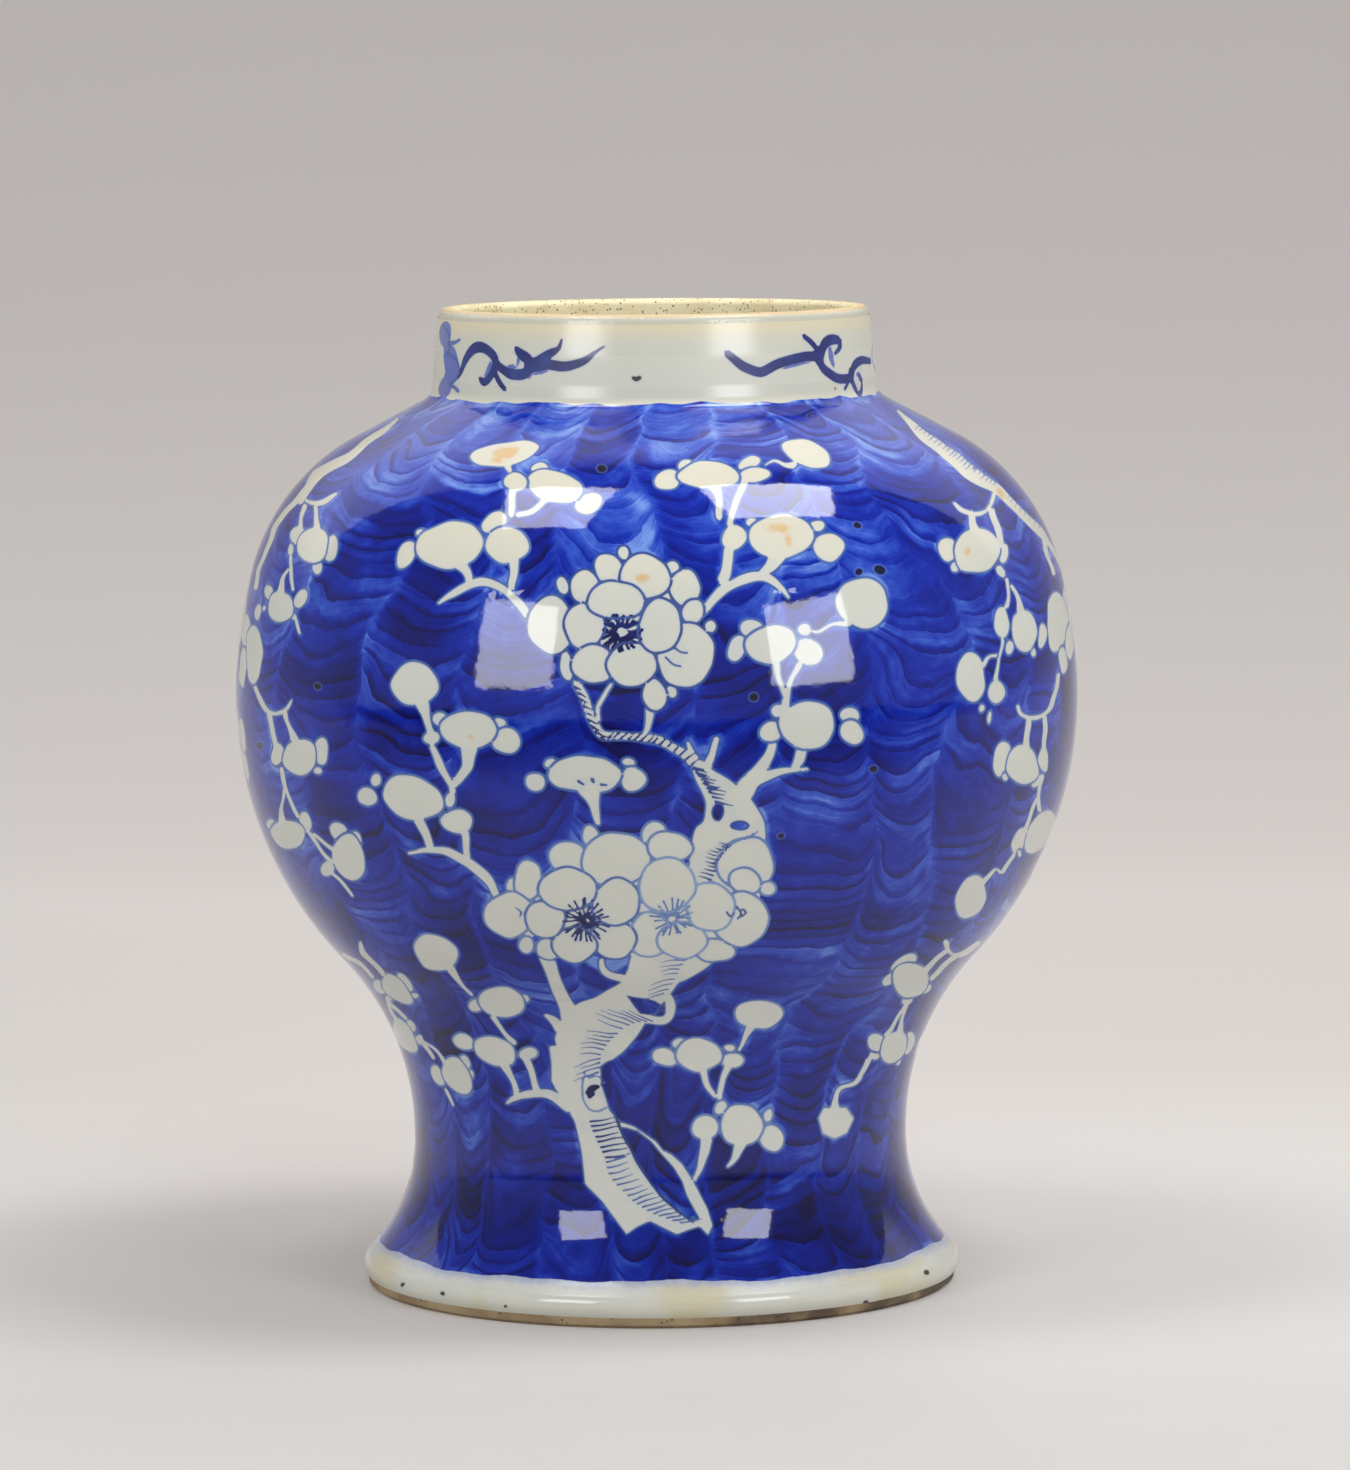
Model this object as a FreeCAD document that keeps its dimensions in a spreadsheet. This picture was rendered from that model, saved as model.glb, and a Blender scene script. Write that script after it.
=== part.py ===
# Baluster vase of glazed porcelain, built the way a potter joins it: four thrown sections,
# the luting slip between them, and the coats of glaze that cover the outside, the inside and the base.
# Millimetres, Z up. The origin is the centre of the foot ring's resting face.
import FreeCAD, Part
import math
import os
from collections import namedtuple
from types import SimpleNamespace

import Sketcher

# Driving dimensions. Radii and heights are of the finished, glazed surface unless the name says otherwise.
LENGTHS = {
    "neck_height": 23.15,
    "neck_foot_radius": 59.1,
    "lip_width": 5.0,
    "lip_rounding": 1.6,
    "rim_bare_height": 2.4,
    "neck_fillet": 4.0,
    "upper_belly_arc": 125.5,
    "belly_radius": 111.75,
    "belly_height": 157.2,
    "waist_radius": 65.7,
    "waist_height": 40.0,
    "foot_radius": 79.6,
    "foot_lip_arc": 4.4,
    "foot_lip_height": 5.45,
    "foot_bare_height": 1.7,
    "foot_bevel": 0.9,
    "foot_ring_width": 9.5,
    "recess_depth": 7.0,
    "recess_fillet": 2.5,
    "base_thickness": 7.5,
    "floor_corner_arc": 8.0,
    "wall": 5.5,
    "glaze": 0.35,
    "slip": 0.8,
    "bead_arc": 4.5,
    "bead_half_width": 2.6,
    "inside_bare_width": 12.0,
}
ANGLES = {
    "neck_taper_degrees": 5.2,
    "shoulder_slope_degrees": 27.8,
    "belly_turn_degrees": 16.0,
    "foot_taper_degrees": 14.0,
    "recess_taper_degrees": 12.0,
}

# The shoulder's curve takes a share of the way in from belly to neck, and the waist's curve a share
# of the two radii that make the S between belly and waist.
SHARES = {
    "shoulder_curve_share": 0.525,
    "waist_curve_share": 0.409,
}

SHEET = "Sizes"
EXPORT_FOLDER = "parts"
BAD_STATES = ("Invalid", "Error")
START, END, CENTRE = range(1, 4)
TOUCH_SHARE = 1e-6

doc = FreeCAD.newDocument("BalusterVase")
sheet = doc.addObject("Spreadsheet::Sheet", SHEET)


class Size:
    """A size from the sheet, kept as its number and as the expression that a constraint is bound to."""

    def __init__(self, value, text):
        self.value = value
        self.text = text

    def __add__(self, other):
        return Size(self.value + other.value, f"({self.text} + {other.text})")

    def __sub__(self, other):
        return Size(self.value - other.value, f"({self.text} - {other.text})")

    def __mul__(self, other):
        return Size(self.value * other.value, f"({self.text} * {other.text})")

    def __truediv__(self, other):
        return Size(self.value / other.value, f"({self.text} / {other.text})")


def half(size):
    return Size(size.value / 2, f"({size.text} / 2)")


def sine(angle):
    return Size(math.sin(math.radians(angle.value)), f"sin({angle.text})")


def cosine(angle):
    return Size(math.cos(math.radians(angle.value)), f"cos({angle.text})")


def tangent(angle):
    return Size(math.tan(math.radians(angle.value)), f"tan({angle.text})")


def arcs_of_an_s(across, along):
    """Sum of the radii of two arcs that meet in an S, each ending upright."""
    return half((across * across + along * along) / across)


def fill_sheet():
    """Writes each driving dimension to its own named cell and returns the sizes by name."""
    sizes = {}
    named = {**LENGTHS, **ANGLES, **SHARES}
    for row, (name, value) in enumerate(named.items(), start=1):
        sheet.set(f"A{row}", name.replace("_", " "))
        sheet.set(f"B{row}", str(value))
        sheet.setAlias(f"B{row}", name)
        sizes[name] = Size(value, f"{SHEET}.{name}")
    doc.recompute()
    return SimpleNamespace(**sizes)


d = fill_sheet()
nothing = Size(0.0, "0")
one = Size(1.0, "1")
right_angle = Size(90.0, "90")
straight_angle = Size(180.0, "180")

# Where the curves of the outline turn about. Every layer of the wall turns about the same centres.
skin = d.glaze
inside = d.glaze + d.wall
half_slip = half(d.slip)
upper_seam = d.belly_height + half_slip
lower_seam = d.belly_height - half_slip
above_waist = d.waist_height + half_slip
below_waist = d.waist_height - half_slip
lip_x = d.foot_radius - d.foot_lip_arc

# Two arcs that meet in an S have radii whose sum follows from how far apart their ends lie.
lower_side_arcs = arcs_of_an_s(d.belly_radius - d.waist_radius, lower_seam - above_waist)
upper_waist_arc = lower_side_arcs * d.waist_curve_share
lower_belly_arc = lower_side_arcs - upper_waist_arc
flare_arc = arcs_of_an_s(d.foot_radius - d.waist_radius, below_waist - d.foot_lip_height) - d.foot_lip_arc
upper_belly_x = d.belly_radius - d.upper_belly_arc
lower_belly_x = d.belly_radius - lower_belly_arc
upper_waist_x = d.waist_radius + upper_waist_arc
flare_x = d.waist_radius + flare_arc
shoulder_reach = (d.belly_radius - d.neck_foot_radius) * d.shoulder_curve_share
shoulder_arc = shoulder_reach / (cosine(d.belly_turn_degrees) - sine(d.shoulder_slope_degrees))
shoulder_step = d.upper_belly_arc - shoulder_arc
shoulder_x = upper_belly_x + shoulder_step * cosine(d.belly_turn_degrees)
shoulder_z = upper_seam + shoulder_step * sine(d.belly_turn_degrees)
floor_z = d.recess_depth + d.base_thickness
ring_radius = d.foot_radius - d.foot_lip_arc - d.foot_ring_width


slip_lift = d.slip / cosine(d.shoulder_slope_degrees)


def shoulder_line_z(x, depth):
    """Height of the sloping shoulder at radius x, as deep as depth inside the glazed surface."""
    rise = (shoulder_arc - depth) / cosine(d.shoulder_slope_degrees)
    return shoulder_z + rise - (x - shoulder_x) * tangent(d.shoulder_slope_degrees)


neck_foot_z = shoulder_line_z(d.neck_foot_radius, nothing)
rim_z = neck_foot_z + d.neck_height
rim_radius = d.neck_foot_radius - d.neck_height * tangent(d.neck_taper_degrees)
mouth_radius = rim_radius - d.lip_width


def neck_line_x(z, depth):
    """Radius of the neck at height z, as deep as depth inside the glazed surface."""
    taper = (rim_z - z) * tangent(d.neck_taper_degrees)
    return rim_radius + taper - depth / cosine(d.neck_taper_degrees)


# Directions of the straight runs, as pins.
rising = ("angle", None, straight_angle - d.shoulder_slope_degrees)
falling = ("angle", None, nothing - d.shoulder_slope_degrees)
up_the_neck = ("angle", None, right_angle + d.neck_taper_degrees)
down_the_neck = ("angle", None, d.neck_taper_degrees - right_angle)
up_the_foot = ("angle", None, right_angle - d.foot_taper_degrees)


# Straight and round edges of a sketch. Each pin (which, where, size) is an x, a z or an angle to hold.
Edge = namedtuple("Edge", "start end centre radius pins smooth")


def line(start, end, pins=(), smooth=False):
    return Edge(start, end, None, None, list(pins), smooth)


def arc(start, end, centre, radius, pins=(), smooth=False):
    return Edge(start, end, centre, radius, list(pins), smooth)


def turned_pin(which, where, size):
    """The same pin for an edge drawn from its far end."""
    if which == "angle":
        return which, where, size - straight_angle
    return which, {START: END, END: START}.get(where, where), size


def backwards(chain):
    """The same edges drawn from the far end."""
    turned = []
    for index in range(len(chain) - 1, -1, -1):
        edge = chain[index]
        pins = [turned_pin(*p) for p in edge.pins]
        smooth = index > 0 and chain[index - 1].smooth
        turned.append(Edge(edge.end, edge.start, edge.centre, edge.radius, pins, smooth))
    return turned


def towards(centre, radius, degrees):
    return (
        centre[0] + radius * math.cos(math.radians(degrees)),
        centre[1] + radius * math.sin(math.radians(degrees)),
    )


def pin_centre(x, z):
    return [("x", CENTRE, x), ("z", CENTRE, z)]


def pin_start(x, z):
    return [("x", START, x), ("z", START, z)]


def pin_end(x, z):
    return [("x", END, x), ("z", END, z)]


def neck_corner(depth, lift):
    """Where the neck's line meets the shoulder's line, with the shoulder's line raised by lift."""
    slope = tangent(d.shoulder_slope_degrees)
    lean = tangent(d.neck_taper_degrees)
    foot_x = neck_line_x(nothing, depth)
    foot_z = shoulder_line_z(nothing, depth) + lift
    z = (foot_z - slope * foot_x) / (one - slope * lean)
    return foot_x - z * lean, z


def neck_fillet_points(depth):
    """The two ends and the centre of the fillet between shoulder and neck."""
    corner = [size.value for size in neck_corner(depth, nothing)]
    up = 90 + d.neck_taper_degrees.value
    down = -d.shoulder_slope_degrees.value
    radius = d.neck_fillet.value + depth.value
    reach = radius / math.tan(math.radians((up - down) / 2))
    low = towards(corner, reach, down)
    high = towards(corner, reach, up)
    centre = towards(low, radius, 90 + down)
    return low, high, centre


def shoulder_points(depth):
    centre = (shoulder_x.value, shoulder_z.value)
    radius = shoulder_arc.value - depth.value
    low = towards(centre, radius, d.belly_turn_degrees.value)
    high = towards(centre, radius, 90 - d.shoulder_slope_degrees.value)
    return low, high, centre


def direction(start, end):
    """Degrees from the X axis to the line from start to end."""
    return math.degrees(math.atan2(end[1] - start[1], end[0] - start[0]))


def lip_points(depth):
    """Centre of the foot's lip, and where the flare and the foot's taper run into it."""
    centre = (lip_x.value, d.foot_lip_height.value)
    radius = d.foot_lip_arc.value - depth.value
    top = towards(centre, radius, direction(centre, (flare_x.value, below_waist.value)))
    bottom = towards(centre, radius, -d.foot_taper_degrees.value)
    return centre, top, bottom


def foot_side(depth, bottom, pinned=True):
    """From the foot's taper up over the lip and the flare to the waist."""
    centre, top, low = lip_points(depth)
    lean = math.tan(math.radians(d.foot_taper_degrees.value))
    start = (low[0] - (low[1] - bottom.value) * lean, bottom.value)
    flare = (flare_x.value, below_waist.value)
    waist = (flare[0] - flare_arc.value - depth.value, flare[1])
    taper_pins = [up_the_foot, ("z", START, bottom)] if pinned else [up_the_foot]
    return [
        line(start, low, taper_pins, smooth=True),
        arc(low, top, centre, d.foot_lip_arc - depth, [("x", CENTRE, lip_x)], smooth=True),
        arc(top, waist, flare, flare_arc + depth, pin_centre(flare_x, below_waist)),
    ]


def lower_side(depth):
    """From the waist up to the belly."""
    waist = (upper_waist_x.value, above_waist.value)
    belly = (lower_belly_x.value, lower_seam.value)
    start = (waist[0] - upper_waist_arc.value - depth.value, waist[1])
    meeting = towards(belly, lower_belly_arc.value - depth.value, direction(belly, waist))
    end = (belly[0] + lower_belly_arc.value - depth.value, belly[1])
    return [
        arc(start, meeting, waist, upper_waist_arc + depth, [("z", CENTRE, above_waist)], smooth=True),
        arc(meeting, end, belly, lower_belly_arc - depth, [("z", CENTRE, lower_seam)]),
    ]


def upper_side(depth, end):
    """From the belly up over the shoulder, along its slope to the point end."""
    belly = (upper_belly_x.value, upper_seam.value)
    low, high, centre = shoulder_points(depth)
    start = (belly[0] + d.upper_belly_arc.value - depth.value, belly[1])
    return [
        arc(start, low, belly, d.upper_belly_arc - depth, [("z", CENTRE, upper_seam)], smooth=True),
        arc(low, high, centre, shoulder_arc - depth, [("z", CENTRE, shoulder_z)], smooth=True),
        line(high, end, [rising]),
    ]


def joined(first, second):
    """Two chains drawn one after the other, running smoothly together."""
    return first[:-1] + [first[-1]._replace(smooth=True)] + second


def upright(start, end, smooth=True):
    return line(start, end, [("upright", None, nothing)], smooth=smooth)


def level(start, end):
    return line(start, end, [("level", None, nothing)])


def geometry_of(edge):
    """The edge's Part geometry, and whether it is stored from start to end."""
    start = FreeCAD.Vector(edge.start[0], edge.start[1], 0)
    end = FreeCAD.Vector(edge.end[0], edge.end[1], 0)
    if edge.centre is None:
        return Part.LineSegment(start, end), True
    centre = FreeCAD.Vector(edge.centre[0], edge.centre[1], 0)
    first, second = start - centre, end - centre
    forwards = first.cross(second).z > 0
    angles = [math.atan2(v.y, v.x) for v in ((first, second) if forwards else (second, first))]
    circle = Part.Circle(centre, FreeCAD.Vector(0, 0, 1), edge.radius.value)
    return Part.ArcOfCircle(circle, angles[0], angles[1]), forwards


def bind(sketch, constraint, size):
    """Adds a constraint and ties it to the sheet."""
    index = sketch.addConstraint(constraint)
    sketch.setExpression(f"Constraints[{index}]", size.text)


def pin(sketch, index, forwards, which, where, size):
    if which == "upright":
        sketch.addConstraint(Sketcher.Constraint("Vertical", index))
    elif which == "level":
        sketch.addConstraint(Sketcher.Constraint("Horizontal", index))
    elif which == "angle":
        bind(sketch, Sketcher.Constraint("Angle", index, math.radians(size.value)), size)
    else:
        if where in (START, END) and not forwards:
            where = START + END - where
        kind = {"x": "DistanceX", "z": "DistanceY"}[which]
        bind(sketch, Sketcher.Constraint(kind, index, where, size.value), size)


def draw(sketch, loop):
    """Draws a closed loop of edges, joins them end to end and pins them to the sheet."""
    ends = []
    for edge in loop:
        geometry, forwards = geometry_of(edge)
        index = sketch.addGeometry(geometry, False)
        ends.append((index, forwards, (START, END) if forwards else (END, START)))
    for number, edge in enumerate(loop):
        index, _, places = ends[number]
        following, _, next_places = ends[(number + 1) % len(loop)]
        kind = "Tangent" if edge.smooth else "Coincident"
        sketch.addConstraint(Sketcher.Constraint(kind, index, places[1], following, next_places[0]))
    for (index, forwards, _), edge in zip(ends, loop):
        if edge.radius is not None:
            bind(sketch, Sketcher.Constraint("Radius", index, edge.radius.value), edge.radius)
        for which, where, size in edge.pins:
            pin(sketch, index, forwards, which, where, size)


def turned_body(label, loop):
    """A body made by turning a closed loop about the vase's axis."""
    body = doc.addObject("PartDesign::Body", label)
    body.Label = label
    plane = next(o for o in body.Origin.OriginFeatures if o.Role == "XZ_Plane")
    sketch = body.newObject("Sketcher::SketchObject", f"{label}_section")
    sketch.AttachmentSupport = (plane, [""])
    sketch.MapMode = "FlatFace"
    draw(sketch, loop)
    turned = body.newObject("PartDesign::Revolution", f"{label}_turned")
    turned.Profile = sketch
    turned.ReferenceAxis = (sketch, ["V_Axis"])
    turned.Angle = 360
    doc.recompute()
    return body, turned


def circles(shape, z):
    """Names of the round edges that lie level at height z."""
    touch = shape.BoundBox.DiagonalLength * TOUCH_SHARE
    boxes = [edge.BoundBox for edge in shape.Edges]
    return [
        f"Edge{number}"
        for number, box in enumerate(boxes, start=1)
        if max(abs(box.ZMin - z), abs(box.ZMax - z)) < touch
    ]


def dress(body, base, kind, name, edges, **sizes):
    """Rounds or bevels edges of a body."""
    feature = body.newObject(f"PartDesign::{kind}", name)
    feature.Base = (base, edges)
    for prop, size in sizes.items():
        setattr(feature, prop, size.value)
        feature.setExpression(prop, size.text)
    doc.recompute()
    return feature


def make_neck():
    """The collar, thrown by itself. Its lower face is cut to the slope of the shoulder."""
    seat = shoulder_line_z(mouth_radius, skin) + slip_lift
    corner = tuple(size.value for size in neck_corner(skin, slip_lift))
    rim_x = neck_line_x(rim_z, skin)
    bore_foot = (mouth_radius.value, seat.value)
    bore_top = (mouth_radius.value, rim_z.value)
    rim = (rim_x.value, rim_z.value)
    loop = [
        line(corner, bore_foot, [rising, *pin_end(mouth_radius, seat)]),
        upright(bore_foot, bore_top, smooth=False),
        level(bore_top, rim),
        line(rim, corner, [down_the_neck, *pin_start(rim_x, rim_z)]),
    ]
    body, turned = turned_body("neck", loop)
    dress(body, turned, "Fillet", "lip", circles(turned.Shape, rim_z.value), Radius=d.lip_rounding)


def make_neck_slip():
    """Slip under the collar, wiped into a fillet round the outside."""
    low, high, centre = neck_fillet_points(skin)
    under = shoulder_line_z(mouth_radius, skin)
    bore_low = (mouth_radius.value, under.value)
    bore_high = (mouth_radius.value, (under + slip_lift).value)
    corner_x, corner_z = neck_corner(skin, slip_lift)
    corner = (corner_x.value, corner_z.value)
    loop = [
        line(bore_low, low, [falling, *pin_start(mouth_radius, under)], smooth=True),
        arc(low, high, centre, d.neck_fillet + skin, smooth=True),
        line(high, corner, [down_the_neck, *pin_end(corner_x, corner_z)]),
        line(corner, bore_high, [rising]),
        upright(bore_high, bore_low, smooth=False),
    ]
    turned_body("neck_luting_slip", loop)


def make_upper_body():
    """Shoulder and upper belly, thrown as a bowl and turned over."""
    mouth_out = (mouth_radius.value, shoulder_line_z(mouth_radius, skin).value)
    mouth_in = (mouth_radius.value, shoulder_line_z(mouth_radius, inside).value)
    outer = upper_side(skin, mouth_out)
    inner = upper_side(inside, mouth_in)
    outer[0].pins.append(("x", CENTRE, upper_belly_x))
    inner[0].pins.append(("x", CENTRE, upper_belly_x))
    outer[0].pins.append(("z", START, upper_seam))
    outer[-1].pins.append(("x", END, mouth_radius))
    loop = outer + [upright(mouth_out, mouth_in, smooth=False)] + backwards(inner)
    loop.append(level(inner[0].start, outer[0].start))
    turned_body("upper_body", loop)


def make_lower_body():
    """Lower belly down to the waist."""
    outer = lower_side(skin)
    inner = lower_side(inside)
    for chain in (outer, inner):
        chain[0].pins.append(("x", CENTRE, upper_waist_x))
    outer[0].pins.append(("z", START, above_waist))
    outer[-1].pins.append(("z", END, lower_seam))
    loop = outer + [level(outer[-1].end, inner[-1].end)] + backwards(inner)
    loop.append(level(inner[0].start, outer[0].start))
    turned_body("lower_body", loop)


def floor_points(depth, floor):
    """The rounded corner between the vase's floor and its flared wall."""
    radius = d.floor_corner_arc.value
    flare = (flare_x.value, below_waist.value)
    height = floor.value + radius
    reach = flare_arc.value + depth.value + radius
    x = flare[0] - math.sqrt(reach**2 - (flare[1] - height) ** 2)
    direction = math.degrees(math.atan2(height - flare[1], x - flare[0]))
    wall_end = towards(flare, reach - radius, direction)
    return (x, floor.value), wall_end, (x, height)


def inner_foot_side(depth, floor, corner):
    """From the axis along the floor, round its corner and up the inside of the flare to the waist."""
    foot, wall_end, centre = floor_points(depth, floor)
    flare = (flare_x.value, below_waist.value)
    waist = (flare[0] - flare_arc.value - depth.value, flare[1])
    return [
        line((0.0, floor.value), foot, [("level", None, nothing), *pin_start(nothing, floor)], smooth=True),
        arc(foot, wall_end, centre, corner, smooth=True),
        arc(wall_end, waist, flare, flare_arc + depth, pin_centre(flare_x, below_waist)),
    ]


def make_foot():
    """The flared foot with its base and turned foot ring."""
    outer = foot_side(skin, nothing)
    outer[-1].pins.append(("z", END, below_waist))
    inner = inner_foot_side(inside, floor_z, d.floor_corner_arc)
    recess_x = ring_radius - d.recess_depth * tangent(d.recess_taper_degrees)
    ceiling = (recess_x.value, d.recess_depth.value)
    ring = (ring_radius.value, 0.0)
    loop = outer + [level(outer[-1].end, inner[-1].end)] + backwards(inner)
    loop += [
        upright((0.0, floor_z.value), (0.0, ceiling[1]), smooth=False),
        line((0.0, ceiling[1]), ceiling, [("level", None, nothing), *pin_end(recess_x, d.recess_depth)]),
        line(ceiling, ring, [("x", END, ring_radius)]),
        level(ring, outer[0].start),
    ]
    body, turned = turned_body("foot", loop)
    rest = circles(turned.Shape, 0.0)
    bevelled = dress(body, turned, "Chamfer", "foot_ring_bevel", rest, Size=d.foot_bevel)
    corner = circles(bevelled.Shape, d.recess_depth.value)
    dress(body, bevelled, "Fillet", "recess_corner", corner, Radius=d.recess_fillet)


# The circle that a curved wall follows, and the side of the joint that it lies on.
Wall = namedtuple("Wall", "x z radius above")


def bead_side(seam, x, depth, over, under):
    """The crown of the slip bead inside a joint, from the wall below it to the wall above it."""
    crown_x = x + sagitta_span()
    centre = (crown_x.value, seam.value)
    radius = d.bead_arc + depth
    bottom, top = (crossing(centre, radius.value, wall) for wall in (under, over))
    return arc(bottom, top, centre, radius, pin_centre(crown_x, seam))


def sagitta_span():
    """How far outside the inner wall the bead's circle is centred."""
    span = d.bead_arc * d.bead_arc - d.bead_half_width * d.bead_half_width
    return Size(math.sqrt(span.value), f"sqrt({span.text})")


def crossing(centre, radius, wall):
    """Where the bead's circle crosses the wall's circle, on the wall's side of the joint."""
    dx, dz = wall.x.value - centre[0], wall.z.value - centre[1]
    apart = math.hypot(dx, dz)
    along = (radius**2 - wall.radius.value**2 + apart**2) / (2 * apart)
    side = math.sqrt(radius**2 - along**2)
    ux, uz = dx / apart, dz / apart
    foot_x, foot_z = centre[0] + along * ux, centre[1] + along * uz
    candidates = [(foot_x - turn * side * uz, foot_z + turn * side * ux) for turn in (1, -1)]
    highest_last = sorted(candidates, key=lambda point: point[1])
    return highest_last[-1] if wall.above else highest_last[0]


def belly_walls(depth):
    """The inner walls above and below the joint at the belly."""
    deep = inside + depth
    over = Wall(upper_belly_x, upper_seam, d.upper_belly_arc - deep, True)
    under = Wall(lower_belly_x, lower_seam, lower_belly_arc - deep, False)
    return over, under


def waist_walls(depth):
    """The inner walls above and below the joint at the waist."""
    deep = inside + depth
    over = Wall(upper_waist_x, above_waist, upper_waist_arc + deep, True)
    under = Wall(flare_x, below_waist, flare_arc + deep, False)
    return over, under


def belly_bead(depth):
    return bead_side(d.belly_height, d.belly_radius - inside, depth, *belly_walls(depth))


def waist_bead(depth):
    return bead_side(d.waist_height, d.waist_radius - inside, depth, *waist_walls(depth))


def make_slip_ring(label, bead, radius, over, under):
    """The slip between two sections at the given glazed radius, squeezed into a bead on the inside."""
    inner_x, outer_x = radius - inside, radius - skin
    top, bottom = over.z, under.z
    in_top, in_bottom = (inner_x.value, top.value), (inner_x.value, bottom.value)
    out_top, out_bottom = (outer_x.value, top.value), (outer_x.value, bottom.value)
    loop = [
        line(out_bottom, out_top, [("upright", None, nothing), *pin_start(outer_x, bottom)]),
        line(out_top, in_top, [("level", None, nothing), ("z", START, top)]),
        arc(in_top, bead.end, (over.x.value, top.value), over.radius, pin_centre(over.x, top)),
        *backwards([bead]),
        arc(bead.start, in_bottom, (under.x.value, bottom.value), under.radius, pin_centre(under.x, bottom)),
        level(in_bottom, out_bottom),
    ]
    turned_body(label, loop)


def make_belly_slip():
    make_slip_ring("belly_luting_slip", belly_bead(nothing), d.belly_radius, *belly_walls(nothing))


def make_waist_slip():
    make_slip_ring("waist_luting_slip", waist_bead(nothing), d.waist_radius, *waist_walls(nothing))


def outside_chain(depth, pinned):
    """The whole outside, from the glaze's lower edge at the foot to its upper edge under the lip."""
    foot_edge = d.foot_bare_height
    low, high, centre = neck_fillet_points(depth)
    stop = rim_z - d.rim_bare_height
    stop_x = neck_line_x(stop, depth)
    foot = foot_side(depth, foot_edge, pinned)
    lower = lower_side(depth)
    upper = upper_side(depth, low)
    neck_pins = [up_the_neck, ("x", END, stop_x)]
    if pinned:
        neck_pins.append(("z", END, stop))
    neck = [
        arc(low, high, centre, d.neck_fillet + depth, smooth=True),
        line(high, (stop_x.value, stop.value), neck_pins),
    ]
    waist_land = [upright(foot[-1].end, lower[0].start)]
    belly_land = [upright(lower[-1].end, upper[0].start)]
    chain = joined(foot, waist_land)
    chain = joined(chain, lower)
    chain = joined(chain, belly_land)
    chain = joined(chain, upper)
    return joined(chain, neck)


def make_outer_glaze():
    """One coat over the outside, which hides the joints. It stops short of the lip and the foot ring."""
    outer = outside_chain(nothing, pinned=True)
    inner = outside_chain(skin, pinned=False)
    loop = outer + [level(outer[-1].end, inner[-1].end)] + backwards(inner)
    loop.append(level(inner[0].start, outer[0].start))
    turned_body("outer_glaze", loop)


def inside_chain(depth, edge_x):
    """The glazed part of the inside, from the middle of the floor to the shoulder's underside."""
    deep = inside + depth
    foot = inner_foot_side(deep, floor_z + depth, d.floor_corner_arc)
    lower = lower_side(deep)
    upper = upper_side(deep, (edge_x.value, shoulder_line_z(edge_x, deep).value))
    waist, belly = waist_bead(depth), belly_bead(depth)
    lower[0].pins.append(("x", CENTRE, upper_waist_x))
    upper[0].pins.append(("x", CENTRE, upper_belly_x))
    foot[-1] = foot[-1]._replace(end=waist.start)
    lower[0] = lower[0]._replace(start=waist.end)
    lower[-1] = lower[-1]._replace(end=belly.start)
    upper[0] = upper[0]._replace(start=belly.end)
    return foot + [waist] + lower + [belly] + upper


def make_inner_glaze():
    """The coat on the inside. It runs over the slip beads and leaves the neck bare."""
    edge_x = mouth_radius + d.inside_bare_width
    outer = inside_chain(nothing, edge_x)
    inner = inside_chain(d.glaze, edge_x)
    outer[-1].pins.append(("x", END, edge_x))
    loop = outer + [upright(outer[-1].end, inner[-1].end, smooth=False)] + backwards(inner)
    loop.append(line((0.0, floor_z.value + d.glaze.value), (0.0, floor_z.value)))
    turned_body("inner_glaze", loop)


def make_base_glaze():
    """The coat on the recessed base, inside the bare foot ring."""
    reach = ring_radius - d.recess_depth * tangent(d.recess_taper_degrees) - d.recess_fillet
    top, bottom = d.recess_depth, d.recess_depth - d.glaze
    corners = [(0.0, bottom.value), (reach.value, bottom.value), (reach.value, top.value), (0.0, top.value)]
    loop = [
        line(corners[0], corners[1], [("level", None, nothing), *pin_start(nothing, bottom)]),
        line(corners[1], corners[2], [("upright", None, nothing), ("x", START, reach)]),
        line(corners[2], corners[3], [("level", None, nothing), ("z", START, top)]),
        upright(corners[3], corners[0], smooth=False),
    ]
    turned_body("base_glaze", loop)


def export_all():
    """Stops on any failed object, then writes one STEP file per body."""
    doc.recompute()
    failed = [o.Name for o in doc.Objects if any(s in BAD_STATES for s in o.State)]
    if failed:
        raise RuntimeError(f"these objects failed: {failed}")
    os.makedirs(EXPORT_FOLDER, exist_ok=True)
    for body in (o for o in doc.Objects if o.TypeId == "PartDesign::Body"):
        shape = body.Shape
        if shape.isNull() or not shape.isValid():
            raise RuntimeError(f"{body.Label} has no valid shape")
        shape.exportStep(os.path.join(EXPORT_FOLDER, f"{body.Label}.step"))
        print(f"{body.Label}: {len(shape.Solids)} solid, {shape.Volume / 1000:.1f} cubic centimetres")


make_neck()
make_neck_slip()
make_upper_body()
make_lower_body()
make_foot()
make_belly_slip()
make_waist_slip()
make_outer_glaze()
make_inner_glaze()
make_base_glaze()
export_all()
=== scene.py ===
# %% [markdown]
# # A blue and white vase, painted over its solids
#
# The real object is a porcelain vase with a prunus pattern: white blossom and boughs kept free of
# paint on a ground of cobalt blue, all under one clear glaze. The solids of its clay and glaze come
# ready made, so this lesson is about looks: how to paint a round pot so that the brushwork stays
# crisp from every side.

# %% Load the solids
import math
import bpy
import numpy as np
from mathutils import Matrix, Vector
from mathutils.geometry import delaunay_2d_cdt


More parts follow.
